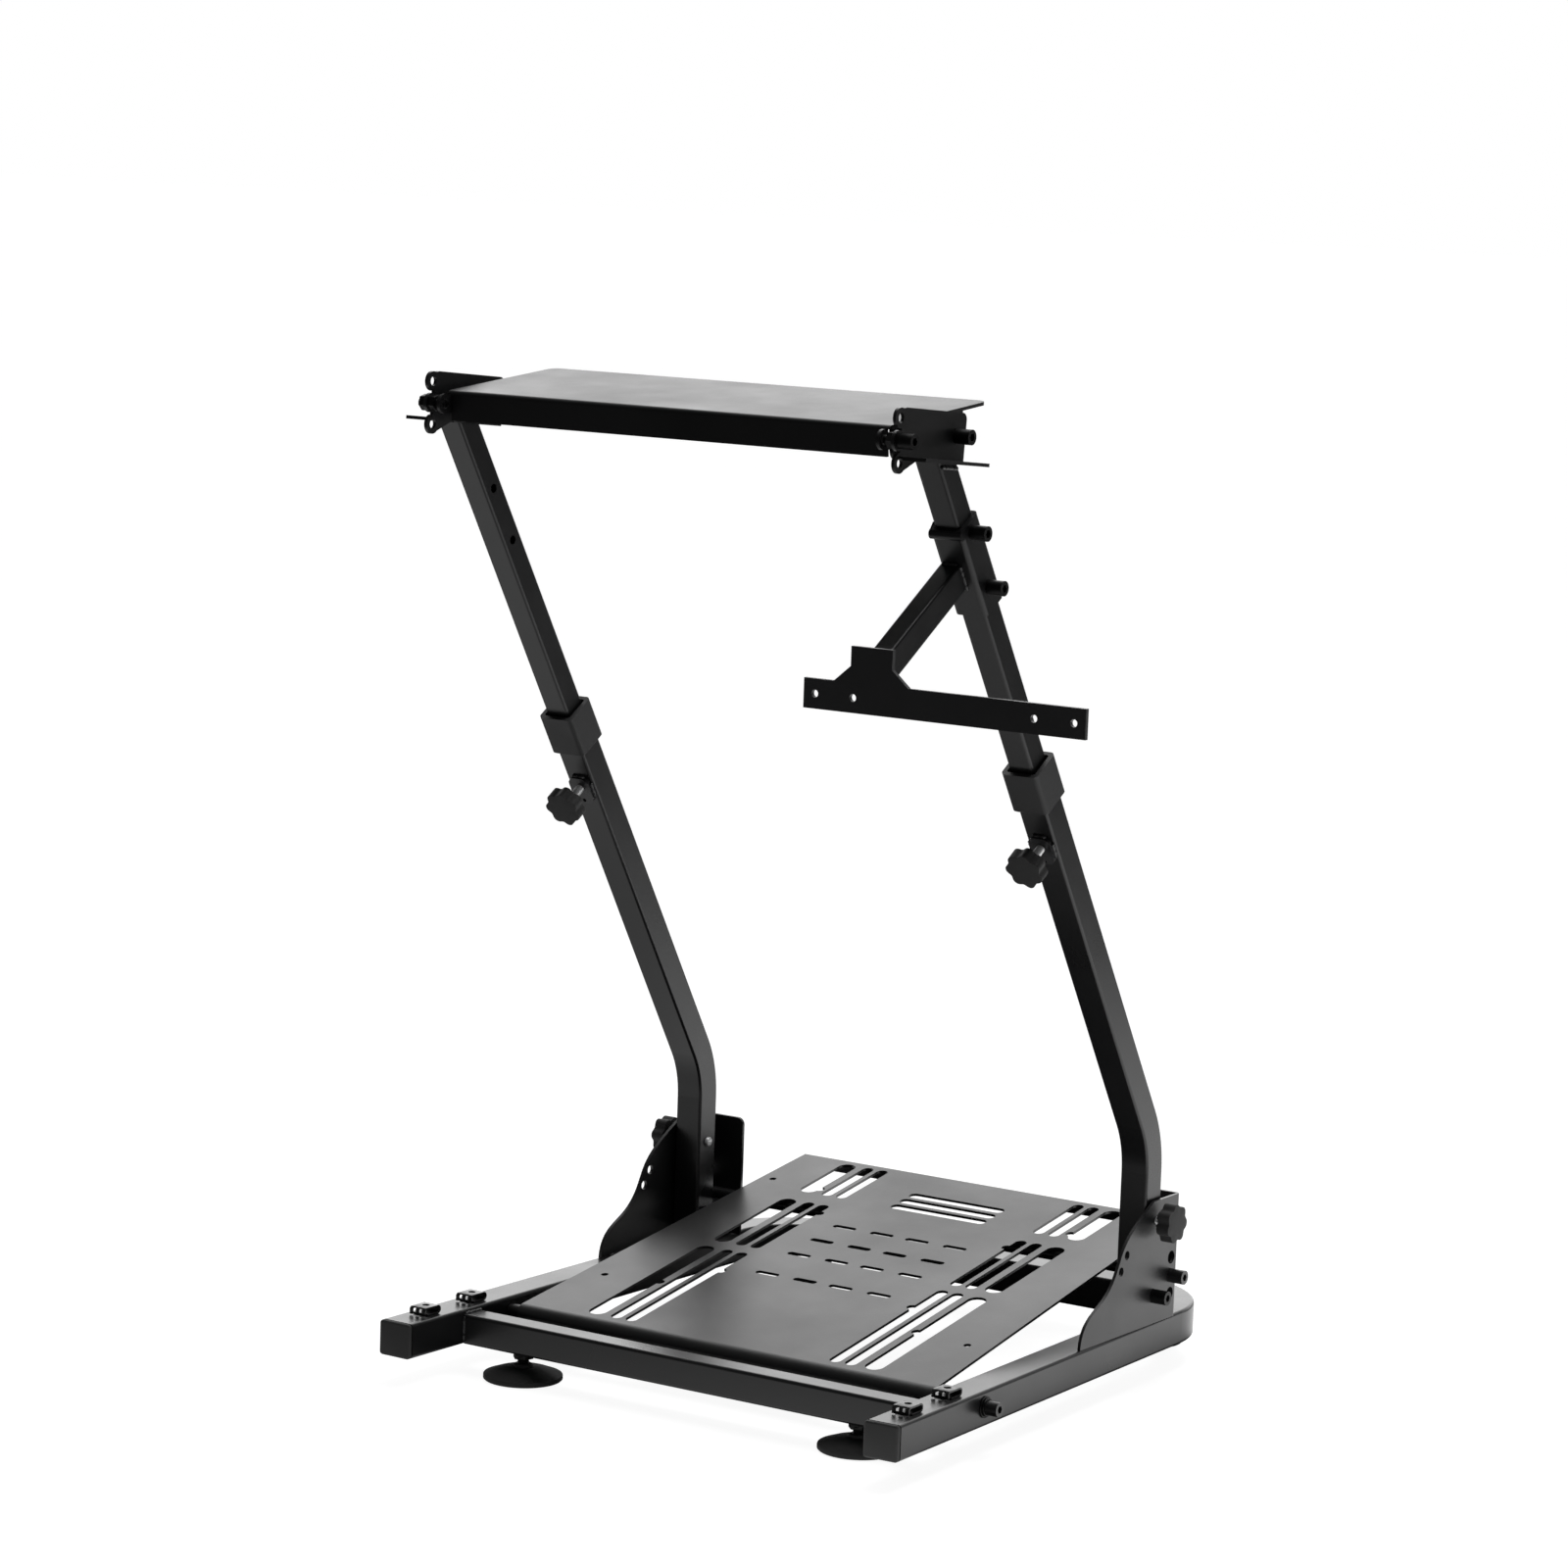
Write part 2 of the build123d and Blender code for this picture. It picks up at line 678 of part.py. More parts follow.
def shifter_sleeve():
    """Sleeve bolted through the right upper tube, with a rolled lip on its front."""
    low, high = mount_bolt_reaches
    plane = across_upright(low - sleeve_below)
    length = high - low + sleeve_below + sleeve_above
    outer = RectangleRounded(2 * sleeve_half, 2 * sleeve_half, tube_corner + sleeve_wall / 2)
    part = extrude(plane * outer, length)
    lip = on_upright(high + sleeve_above - sleeve_lip, sleeve_half - sleeve_lip / 3)
    part += cross_rod(upright_offset - sleeve_half, upright_offset + sleeve_half, lip, sleeve_lip)
    part -= extrude(plane * RectangleRounded(upper_size, upper_size, tube_corner), length)
    near, far = upright_offset - 2 * sleeve_half, upright_offset + 2 * sleeve_half
    for reach in mount_bolt_reaches:
        part -= cross_rod(near, far, on_upright(reach), mount_bolt_radius + bolt_gap)
    return part


def mount_bolt(reach):
    """Bolt that holds the sleeve on the tube, with a nut on the inside."""
    place = on_upright(reach)
    inner = upright_offset - sleeve_half
    seat = upright_offset + sleeve_half
    shank = cross_rod(inner - hex_nut_thickness - thread_end, seat, place, mount_bolt_radius)
    nut = hex_rod(inner - hex_nut_thickness, inner, place, hex_nut_radius)
    return shank + nut + cap_head(seat, head_length, place)


def shifter_arm():
    """Rectangular tube from the sleeve's front face, cut upright where it meets the bar."""
    start = on_upright(arm_reach, sleeve_half, arm_x)
    plane = Plane(origin=start, x_dir=(1, 0, 0), z_dir=ahead)
    length = arm_run / cos(lean) + arm_height
    tube = extrude(plane * tube_profile(arm_width, arm_height, arm_wall, tube_corner), length)
    near, far = arm_x - arm_width, arm_x + arm_width
    return tube - block(near, far, bar_back - length, bar_back, 0, 2 * deck_height)


def shifter_bar():
    """Flat bar that carries the shifter, with a flared tab on the arm and two holes at each end."""
    outer_end = bar_inner_end + bar_length
    arm_end = on_upright(arm_reach, sleeve_half).Z - arm_run * tan(lean)
    bar_bottom = arm_end - bar_drop
    top = bar_bottom + bar_height
    bar = block(bar_inner_end, outer_end, bar_back - bar_sheet, bar_back, bar_bottom, top)
    flare = top + bar_tab_flare
    outline = Polyline(
        (arm_x - bar_tab_foot, top),
        (arm_x - bar_tab_half, flare),
        (arm_x - bar_tab_half, top + bar_tab_rise),
        (arm_x + bar_tab_half, top + bar_tab_rise),
        (arm_x + bar_tab_half, flare),
        (arm_x + bar_tab_foot, top),
        close=True,
    )
    facing = Plane(origin=(0, bar_back, 0), x_dir=(1, 0, 0), z_dir=(0, -1, 0))
    bar += extrude(facing * make_face(outline), bar_sheet)
    middle = bar_bottom + bar_height / 2
    for inset in bar_hole_insets:
        for x in (bar_inner_end + inset, outer_end - inset):
            bar -= Pos(x, bar_back, middle) * Rot(90, 0, 0) * Cylinder(bar_hole_radius, 4 * bar_sheet)
    return bar


def build():
    """All pieces by name."""
    pieces = {
        "rear_bow": rear_bow(),
        "front_crossbar": front_crossbar(),
        "pedal_plate": pedal_plate(),
        "hinge_rod": hinge_rod(),
        "rest_rod": rest_rod(),
        "wheel_deck": wheel_deck(),
        "shifter_sleeve": shifter_sleeve(),
        "shifter_arm": shifter_arm(),
        "shifter_bar": shifter_bar(),
        "lower_mount_bolt": mount_bolt(mount_bolt_reaches[0]),
        "upper_mount_bolt": mount_bolt(mount_bolt_reaches[1]),
    }
    crossbar_middle = front + crossbar_from_front + crossbar_depth / 2
    rear_middle = front + base_depth - rail_width / 2
    for end, y in (("front", crossbar_middle), ("rear", rear_middle)):
        pieces[f"right_{end}_foot"] = levelling_foot(foot_offset, y)
        pieces[f"left_{end}_foot"] = levelling_foot(-foot_offset, y)
    right = {
        "side_rail": side_rail(),
        "end_cap": end_cap(),
        "front_clip": rail_clip(clip_from_front),
        "rear_clip": rail_clip(clip_from_front + clip_pitch),
        "gusset": gusset(),
        "pivot_bolt": pivot_bolt(),
        "lower_tube": lower_tube(),
        "collar": collar(),
        "weld_nut": weld_nut(),
        "height_knob": height_knob(),
        "fold_knob": fold_knob(),
        "upper_tube": upper_tube(),
        "top_bracket": top_bracket(),
        "deck_pivot_bolt": deck_pivot_bolt(),
        "deck_lock_bolt": deck_lock_bolt(),
    }
    for name, piece in right.items():
        pieces[f"right_{name}"] = piece
        pieces[f"left_{name}"] = mirror(piece, about=Plane.YZ)
    return pieces


os.makedirs("parts", exist_ok=True)
for name, piece in build().items():
    export_step(piece, f"parts/{name}.step")
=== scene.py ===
"""Finishes, small hardware and studio for a folding racing wheel stand.

Metres, +Z up, floor at Z = 0, +X to the driver's right, +Y away from the driver.
"""

import json
from math import atan2, cos, pi, radians, sin
from typing import NamedTuple

import bpy
from mathutils import Matrix, Vector


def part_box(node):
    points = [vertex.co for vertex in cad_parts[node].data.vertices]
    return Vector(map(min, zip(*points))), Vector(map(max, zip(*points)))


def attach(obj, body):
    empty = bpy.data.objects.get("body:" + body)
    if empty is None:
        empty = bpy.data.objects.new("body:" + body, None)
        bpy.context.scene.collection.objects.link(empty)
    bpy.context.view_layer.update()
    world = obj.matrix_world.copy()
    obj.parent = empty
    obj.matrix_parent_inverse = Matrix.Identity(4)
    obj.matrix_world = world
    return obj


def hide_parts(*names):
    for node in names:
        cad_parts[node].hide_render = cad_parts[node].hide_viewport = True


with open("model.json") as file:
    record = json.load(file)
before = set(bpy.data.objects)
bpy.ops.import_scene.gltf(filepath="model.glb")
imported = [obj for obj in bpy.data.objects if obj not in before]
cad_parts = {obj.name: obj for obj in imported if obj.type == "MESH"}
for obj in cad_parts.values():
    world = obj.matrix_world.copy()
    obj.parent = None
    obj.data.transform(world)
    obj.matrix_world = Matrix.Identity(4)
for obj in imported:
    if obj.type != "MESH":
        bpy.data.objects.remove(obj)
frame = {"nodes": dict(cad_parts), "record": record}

bl_info = {
    "name": "Racing Wheel Stand",
    "version": (1, 0, 0),
    "blender": (4, 5, 0),
    "location": "3D View > Sidebar > Stand",
    "description": "Finishes, hardware and studio for a folding racing wheel stand",
    "category": "Object",
}

NODES = frame["nodes"]
JOINTS = {joint["name"]: joint for joint in frame["record"]["behaviour"]["joints"]}
SLOTS = {entry["node"]: entry["material_slot"] for entry in frame["record"]["subparts"]}
SIDES = (("left", -1), ("right", 1))
ALONG = Vector(JOINTS["height"]["axis"])
AHEAD = Vector(JOINTS["left_height_knob_turn"]["axis"])
RAIL_TAPER = radians(1.6)
MM = 0.001
NEAR = 0.0001
MERGE = 0.000005
FACING = 0.9
THREAD_ROOT = 0.9
BEAD_END = 0.3
BEAD_DIP = 0.74
BEAD_SWELL = 0.16
BEAD_WAVE = 1.9
NUT_LAND = 0.8
NUT_BEVEL = 0.09
FLOOR_TONE = (0.3, 0.3, 0.3, 1)
FLOOR_WHITE = 0.92
POOL_CORE = 0.3
WHITE = (1, 1, 1, 1)
SENSOR = 36
# Pale colour of the dust film: on faces that look up it is dust and painted top light.
DUST_AND_TOP_LIGHT = (0.30, 0.295, 0.285, 1)


def colour_property(name, description, default):
    """Colour that a user may change."""
    return bpy.props.FloatVectorProperty(
        name=name, description=description, subtype="COLOR", size=3, min=0.0, max=1.0, default=default
    )


def length_property(name, description, default):
    """Length in metres that a user may change."""
    return bpy.props.FloatProperty(
        name=name, description=description, unit="LENGTH", min=0.0, precision=5, default=default
    )


def brightness_property(name, description, default):
    """Brightness that a user may change."""
    return bpy.props.FloatProperty(name=name, description=description, min=0.0, default=default)


def angle_property(name, description, degrees):
    """Angle that a user may change."""
    return bpy.props.FloatProperty(
        name=name, description=description, subtype="ANGLE", default=radians(degrees)
    )


def place_property(name, description, default):
    """Place in metres that a user may change."""
    return bpy.props.FloatVectorProperty(
        name=name,
        description=description,
        subtype="TRANSLATION",
        unit="LENGTH",
        size=len(default),
        default=default,
    )


class StandFinish(bpy.types.PropertyGroup):
    """Colours of the stand's surfaces."""

    tube_colour: colour_property("Tube coat", "Powder coat on the tubes", (0.010, 0.010, 0.0105))
    sheet_colour: colour_property("Sheet coat", "Powder coat on the sheets", (0.011, 0.011, 0.0115))
    cap_colour: colour_property("Cap plastic", "End caps and collars", (0.016, 0.016, 0.0165))
    knob_colour: colour_property("Knob plastic", "Star knobs", (0.1, 0.1, 0.101))
    bolt_colour: colour_property("Bolt steel", "Black oxide on bolts and nuts", (0.006, 0.006, 0.0062))
    zinc_colour: colour_property("Zinc", "Bright plating on the studs", (0.85, 0.855, 0.86))
    rubber_colour: colour_property("Foot rubber", "Pads of the levelling feet", (0.022, 0.022, 0.022))


class StandHardware(bpy.types.PropertyGroup):
    """Sizes of the small hardware."""

    knob_radius: length_property("Knob radius", "Reach of a star knob's lobes", 18 * MM)
    knob_thickness: length_property("Knob thickness", "Depth of a star knob's grip", 12.2 * MM)
    height_knob_start: length_property("Height knob start", "Tube's middle to the back of the grip", 38 * MM)
    fold_knob_start: length_property("Fold knob start", "Gusset's face to the back of the grip", 9 * MM)
    stud_start: length_property("Stud start", "Tube's middle to a height knob's stud", 14.08 * MM)
    stud_sink: length_property("Stud sink", "Depth of a fold knob's stud in its gusset", 3 * MM)
    stud_radius: length_property("Stud radius", "Outside of a knob's thread", 4 * MM)
    thread_pitch: length_property("Thread pitch", "Distance from one thread to the next", 1.25 * MM)
    weld_radius: length_property("Weld radius", "Half the height of a weld bead", 2.0 * MM)
    weld_ripple: length_property("Weld ripple", "Distance from one ripple to the next", 2.6 * MM)
    washer_radius: length_property("Washer radius", "Outside of a washer", 9.6 * MM)
    washer_hole: length_property("Washer hole", "Inside of a washer", 6.55 * MM)
    washer_thickness: length_property("Washer thickness", "Thickness of a washer", 1.4 * MM)
    spring_radius: length_property("Spring washer radius", "Outside of a spring washer", 8.1 * MM)
    spring_thickness: length_property("Spring washer thickness", "Thickness of a spring washer", 2.2 * MM)
    bolt_head: length_property("Bolt head", "Length of a bolt's head", 15 * MM)
    clip_width: length_property("Clip width", "Width of a rail clip across the rail", 17 * MM)
    clip_length: length_property("Clip length", "Length of a rail clip along the rail", 21 * MM)
    clip_height: length_property("Clip height", "Height of a rail clip", 8 * MM)
    clip_sheet: length_property("Clip sheet", "Thickness of a rail clip's sheet", 1.8 * MM)
    clip_hole: length_property("Clip hole", "Radius of the hole in a rail clip", 3.4 * MM)
    rail_width: length_property("Rail width", "Width of a side rail", 34 * MM)
    rail_corner: length_property("Rail corner", "Rounding of a side rail's corners", 3 * MM)
    cap_thickness: length_property("Cap thickness", "Depth of an end cap outside its rail", 5 * MM)
    cap_edge: length_property("Cap edge", "Rounding of an end cap's front edge", 2 * MM)
    cap_groove: length_property("Cap groove", "Rounding of an end cap's rear edge", 1.5 * MM)
    pad_rim: length_property("Pad rim", "Height of a foot pad's rim", 5 * MM)
    pad_dome: length_property("Pad dome", "Rise of a foot pad from its rim to its hub", 6.5 * MM)
    pad_hub: length_property("Pad hub", "Radius of the hub in the middle of a foot pad", 9 * MM)
    stem_radius: length_property("Stem radius", "Outside of a foot's thread", 5.4 * MM)
    locknut_radius: length_property("Locknut radius", "Corner of a foot's locknut from its middle", 9.8 * MM)
    locknut_thickness: length_property("Locknut thickness", "Thickness of a foot's locknut", 5 * MM)
    nut_radius: length_property("Nut radius", "Corner of a nut from its middle", 7.5 * MM)
    nut_thickness: length_property("Nut thickness", "Thickness of a nut", 6.5 * MM)


class StandStudio(bpy.types.PropertyGroup):
    """Camera and light."""

    camera_place: place_property("Camera place", "Where the camera stands", (2.41059, -3.75261, 1.17221))
    camera_yaw: angle_property("Camera yaw", "How far the camera is turned to the left", 33.155)
    camera_pitch: angle_property("Camera pitch", "How far the camera looks down", 9.643)
    camera_roll: angle_property("Camera roll", "How far the camera leans", 1.994)
    room_front: brightness_property("Room in front", "Brightness of the room on the camera's side", 0.055)
    room_back: brightness_property("Room behind", "Brightness of the backdrop behind the stand", 2.3)
    pool_light: brightness_property("Floor light", "Brightness of the floor round the stand", 1.55)
    pool_reach: length_property("Floor light reach", "Where the floor's light has faded", 1.9)
    pool_centre: place_property("Floor light place", "Middle of the floor's light", (0.7, 0.7))
    fill_light: brightness_property("Left floor light", "Brightness of the floor on the left", 0.8)
    fill_reach: length_property("Left floor light reach", "Where the left floor's light has faded", 0.75)
    fill_centre: place_property("Left floor light place", "Middle of the left floor's light", (-0.9, -0.6))
    shade_edge: length_property("Shade edge", "How far the shade under the base fades out", 0.07)


class Coat(NamedTuple):
    """A coat: its colour's name, grain and patches per metre, range of gloss, depth of grain, and dust with
    painted top light.
    """

    colour: str
    grain: float
    patch: float
    rough: tuple
    depth: float
    dust: float
    gleam: float = 0.5
    lighter: float = 1
    cloud: tuple = (0.86, 1.14)
    bump: float = 0.35
    metallic: float = 0.0


STREAKS = (0.8, 1.15)
COATS = {
    "tube_coat": Coat("tube_colour", 1400, 8, (0.26, 0.34), 0.00008, 0.05),
    "sheet_coat": Coat("sheet_colour", 1300, 7, (0.34, 0.44), 0.00012, 0.06, 0.85),
    "deck_coat": Coat("sheet_colour", 1300, 7, (0.34, 0.44), 0.00012, 0.06, 0.42),
    "gusset_coat": Coat("tube_colour", 1400, 8, (0.34, 0.44), 0.00010, 0.05, 0.65),
    # Shifter bar: the black tube coat painted four times lighter, as painted light on the bar.
    "bar_coat": Coat("tube_colour", 1400, 8, (0.4, 0.5), 0.00010, 0.05, lighter=4),
    "cap_plastic": Coat("cap_colour", 2400, 30, (0.46, 0.56), 0.00014, 0.05),
    "knob_plastic": Coat("knob_colour", 2600, 40, (0.32, 0.42), 0.00008, 0.06),
    "foot_rubber": Coat("rubber_colour", 1800, 25, (0.22, 0.32), 0.00006, 0.10, 0.7),
    # Weld beads and weld nuts: the black tube coat painted 2.2 times lighter, as painted highlights on the
    # beads.
    "weld_coat": Coat("tube_colour", 700, 60, (0.26, 0.4), 0.0003, 0.0, lighter=2.2),
    "bolt_black": Coat("bolt_colour", 1500, 120, (0.3, 0.45), 0.00006, 0.0, 0.22, 1, STREAKS, 0.3),
    "zinc_plate": Coat("zinc_colour", 1200, 120, (0.2, 0.3), 0.00001, 0.0, 0.5, 1, STREAKS, 0.3, 0.3),
}
SLOT_FINISHES = {"frame_steel": "tube_coat", "sheet_steel": "sheet_coat", "bolt_steel": "bolt_black"}
NODE_FINISHES = {
    "wheel_deck": "deck_coat",
    "shifter_bar": "bar_coat",
    "left_gusset": "gusset_coat",
    "right_gusset": "gusset_coat",
    "left_weld_nut": "weld_coat",
    "right_weld_nut": "weld_coat",
}


def feed(tree, node, inputs):
    """Link each input that is given a socket and set each that is given a value."""
    for name, value in inputs.items():
        if isinstance(value, bpy.types.NodeSocket):
            tree.links.new(value, node.inputs[name])
        else:
            node.inputs[name].default_value = value


def add_node(tree, kind, place, inputs=None, **settings):
    """New node with its settings and inputs."""
    node = tree.nodes.new(kind)
    node.location = place
    for name, value in settings.items():
        setattr(node, name, value)
    feed(tree, node, inputs or {})
    return node


def value_group(name, inputs, outputs):
    """New shader node group with the named sockets, its inputs and its end node."""
    group = bpy.data.node_groups.new(name, "ShaderNodeTree")
    for label, kind, default in inputs:
        socket = group.interface.new_socket(name=label, in_out="INPUT", socket_type=kind)
        if default is not None:
            socket.default_value = default
    for label in outputs:
        group.interface.new_socket(name=label, in_out="OUTPUT", socket_type="NodeSocketFloat")
    start = add_node(group, "NodeGroupInput", (-600, 0))
    end = add_node(group, "NodeGroupOutput", (600, 0))
    return group, start.outputs, end


def coat_group():
    """Fine orange peel and soft cloudy patches of a powder coat."""
    sockets = (
        ("Vector", "NodeSocketVector", None),
        ("Grain", "NodeSocketFloat", 900.0),
        ("Patch", "NodeSocketFloat", 9.0),
    )
    group, start, end = value_group("coat_surface", sockets, ("Height", "Patches"))
    inputs = {"Vector": start["Vector"], "Scale": start["Grain"], "Detail": 3.0}
    grain = add_node(group, "ShaderNodeTexNoise", (-300, 200), inputs)
    inputs = {0: start["Grain"], 1: 0.45}
    half = add_node(group, "ShaderNodeMath", (-500, -100), inputs, operation="MULTIPLY")
    inputs = {"Vector": start["Vector"], "Scale": half.outputs[0], "Smoothness": 1.0}
    peel = add_node(group, "ShaderNodeTexVoronoi", (-300, -100), inputs, feature="SMOOTH_F1")
    inputs = {0: peel.outputs["Distance"], 1: 0.6, 2: grain.outputs["Fac"]}
    height = add_node(group, "ShaderNodeMath", (0, 100), inputs, operation="MULTIPLY_ADD")
    inputs = {"Vector": start["Vector"], "Scale": start["Patch"], "Detail": 4.0, "Roughness": 0.6}
    patch = add_node(group, "ShaderNodeTexNoise", (-300, -400), inputs)
    inputs = {"Value": patch.outputs["Fac"], "From Min": 0.32, "From Max": 0.68}
    spread = add_node(group, "ShaderNodeMapRange", (0, -400), inputs)
    feed(group, end, {"Height": height.outputs[0], "Patches": spread.outputs["Result"]})
    return group


def dust_and_top_light_group():
    """Thin film of dust on faces that look up, which also paints them lighter: painted top light."""
    sockets = (
        ("Vector", "NodeSocketVector", None),
        ("Normal", "NodeSocketVector", None),
        ("Amount", "NodeSocketFloat", 0.1),
    )
    group, start, end = value_group("dust_film", sockets, ("Dust",))
    split = add_node(group, "ShaderNodeSeparateXYZ", (-350, 150), {0: start["Normal"]})
    inputs = {"Value": split.outputs["Z"], "From Min": 0.25, "From Max": 1.0}
    facing = add_node(group, "ShaderNodeMapRange", (-150, 150), inputs)
    inputs = {"Vector": start["Vector"], "Scale": 38.0, "Detail": 6.0}
    cloud = add_node(group, "ShaderNodeTexNoise", (-350, -150), inputs)
    inputs = {0: facing.outputs["Result"], 1: cloud.outputs["Fac"]}
    film = add_node(group, "ShaderNodeMath", (50, 50), inputs, operation="MULTIPLY")
    inputs = {0: film.outputs[0], 1: start["Amount"]}
    amount = add_node(group, "ShaderNodeMath", (250, 50), inputs, operation="MULTIPLY")
    feed(group, end, {"Dust": amount.outputs[0]})
    return group


def shade(colour, factor):
    """Lighter or darker version of a colour."""
    return (*[min(channel * factor, 1.0) for channel in colour[:3]], 1)


def coat_material(name, colour, groups):
    """Coat, plastic, rubber or plating: cloudy colour and gloss, fine grain and a little dust that also
    paints the tops lighter as painted top light.
    """
    kind = COATS[name]
    material = bpy.data.materials.new(name)
    material.use_nodes = True
    tree = material.node_tree
    place = add_node(tree, "ShaderNodeTexCoord", (-1200, 0)).outputs["Object"]
    inputs = {"Vector": place, "Grain": kind.grain, "Patch": kind.patch}
    coat = add_node(tree, "ShaderNodeGroup", (-950, 100), inputs, node_tree=groups["coat"])
    patches = coat.outputs["Patches"]
    inputs = {0: patches, 6: shade(colour, kind.cloud[0]), 7: shade(colour, kind.cloud[1])}
    base = add_node(tree, "ShaderNodeMix", (-650, 250), inputs, data_type="RGBA")
    # Dust and painted top light: faces that look up are mixed towards a pale colour.
    if kind.dust:
        normal = add_node(tree, "ShaderNodeNewGeometry", (-1200, -300)).outputs["Normal"]
        inputs = {"Vector": place, "Normal": normal, "Amount": kind.dust}
        film = add_node(tree, "ShaderNodeGroup", (-950, -250), inputs, node_tree=groups["dust"])
        inputs = {0: film.outputs["Dust"], 6: base.outputs[2], 7: DUST_AND_TOP_LIGHT}
        base = add_node(tree, "ShaderNodeMix", (-400, 250), inputs, data_type="RGBA")
    inputs = {"Value": patches, "To Min": kind.rough[0], "To Max": kind.rough[1]}
    gloss = add_node(tree, "ShaderNodeMapRange", (-650, -50), inputs)
    inputs = {"Strength": kind.bump, "Distance": kind.depth, "Height": coat.outputs["Height"]}
    bump = add_node(tree, "ShaderNodeBump", (-250, -350), inputs)
    inputs = {
        "Base Color": base.outputs[2],
        "Metallic": kind.metallic,
        "Roughness": gloss.outputs["Result"],
        "Specular IOR Level": kind.gleam,
        "Normal": bump.outputs["Normal"],
    }
    feed(tree, tree.nodes["Principled BSDF"], inputs)
    return material


class STAND_OT_finishes(bpy.types.Operator):
    """Give every solid of the stand its finish."""

    bl_idname = "stand.finishes"
    bl_label = "Finishes"

    def execute(self, context):
        finish = context.scene.stand_finish
        groups = {"coat": coat_group(), "dust": dust_and_top_light_group()}
        made = {}
        for name, kind in COATS.items():
            colour = shade(getattr(finish, kind.colour), kind.lighter)
            made[name] = coat_material(name, colour, groups)
        for name, node in NODES.items():
            slot = SLOTS[name]
            kind = NODE_FINISHES.get(name, SLOT_FINISHES.get(slot, slot))
            node.data.materials.clear()
            node.data.materials.append(made[kind])
        return {"FINISHED"}


def start_piece(context):
    """Leave edit mode and deselect everything, as before each new piece."""
    if context.mode != "OBJECT":
        bpy.ops.object.mode_set(mode="OBJECT")
    bpy.ops.object.select_all(action="DESELECT")


def edit_piece():
    """Settle a new piece at the origin and enter edit mode."""
    bpy.ops.object.transform_apply(location=True, rotation=True, scale=True)
    bpy.ops.object.mode_set(mode="EDIT")


def extrude(move):
    """Extrude the selection and move it."""
    bpy.ops.mesh.extrude_region_move(TRANSFORM_OT_translate={"value": move})


def select_where(context, kind, test):
    """Select only the parts of one kind that pass a test, in edit mode."""
    bpy.ops.mesh.select_all(action="DESELECT")
    bpy.ops.object.mode_set(mode="OBJECT")
    for part in getattr(context.active_object.data, kind):
        part.select = test(part)
    bpy.ops.object.mode_set(mode="EDIT")


def select_faces(context, test):
    """Select only the faces whose normal passes a test."""
    select_where(context, "polygons", lambda face: test(face.normal))


def select_points(context, test):
    """Select only the points whose place passes a test."""
    select_where(context, "vertices", lambda point: test(point.co))


def select_edges(context, test):
    """Select only the edges whose two ends pass a test."""

    def passes(edge):
        points = context.active_object.data.vertices
        return test(*[points[index].co for index in edge.vertices])

    bpy.ops.mesh.select_mode(type="EDGE")
    select_where(context, "edges", passes)


def apply_modifier(piece, kind, **settings):
    """Add a modifier with its settings and apply it."""
    modifier = piece.modifiers.new(kind.title(), kind)
    for name, value in settings.items():
        setattr(modifier, name, value)
    bpy.ops.object.modifier_apply(modifier=modifier.name)


def finish_piece(context, name, material, angle=40):
    """Leave edit mode with normals outward, a name, a material and smooth shading."""
    if context.mode != "OBJECT":
        bpy.ops.mesh.select_all(action="SELECT")
        bpy.ops.mesh.remove_doubles(threshold=MERGE)
        bpy.ops.mesh.normals_make_consistent(inside=False)
        bpy.ops.object.mode_set(mode="OBJECT")
    piece = context.active_object
    piece.name = name
    piece.data.materials.clear()
    piece.data.materials.append(bpy.data.materials[material])
    bpy.ops.object.shade_smooth_by_angle(angle=radians(angle))
    return piece


def placed(source, name, body, place, axis, across=None):
    """Copy of a piece with its own mesh: its +Z along an axis, set down at a place, on a body."""
    piece = source.copy()
    piece.data = source.data.copy()
    piece.name = name
    bpy.context.collection.objects.link(piece)
    up = Vector(axis).normalized()
    side = Vector(across) if across else up.orthogonal()
    side = (side - up * side.dot(up)).normalized()
    turn = Matrix((side, up.cross(side), up)).transposed().to_4x4()
    bpy.ops.object.select_all(action="DESELECT")
    piece.select_set(True)
    bpy.context.view_layer.objects.active = piece
    piece.matrix_world = Matrix.Translation(place) @ turn
    bpy.ops.object.transform_apply(location=True, rotation=True, scale=True)
    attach(piece, body)
    return piece


def outer_x(node, sign):
    """X of a node's right side for +1, of its left side for -1."""
    low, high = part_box(node)
    return high[0] if sign > 0 else low[0]


def middle(node):
    """Middle of a node's box."""
    low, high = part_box(node)
    return (Vector(low) + Vector(high)) / 2


def rail_ways(sign):
    """Way across a side rail and way out of its front end: the rails draw together towards the rear."""
    turn = sign * RAIL_TAPER
    return Vector((cos(turn), sin(turn), 0)), Vector((sin(turn), -cos(turn), 0))


def discard(*pieces):
    """Remove pattern pieces after their copies are made."""
    for piece in pieces:
        bpy.data.objects.remove(piece, do_unlink=True)


def turned(context, name, material, profile, points=48, angle=40):
    """Piece turned about +Z: a disc carried through each radius and height of a profile."""
    start_piece(context)
    radius, height = profile[0]
    start = (0, 0, height)
    bpy.ops.mesh.primitive_circle_add(vertices=points, radius=radius, location=start, fill_type="NGON")
    edit_piece()
    bpy.ops.mesh.select_all(action="SELECT")
    for wide, high in profile[1:]:
        extrude((0, 0, high - height))
        scale = wide / radius
        bpy.ops.transform.resize(value=(scale, scale, 1), center_override=(0, 0, high))
        radius, height = wide, high
    return finish_piece(context, name, material, angle)


def thread(context, name, radius, pitch, length, material="zinc_plate"):
    """Threaded rod along +Z from the origin."""
    turns = max(int(length / pitch), 1)
    step = length / turns / 2
    root = radius * THREAD_ROOT
    profile = [(root, 0)]
    for index in range(2 * turns):
        profile.append((radius if index % 2 == 0 else root, step * (index + 1)))
    return turned(context, name, material, profile, 20, 60)


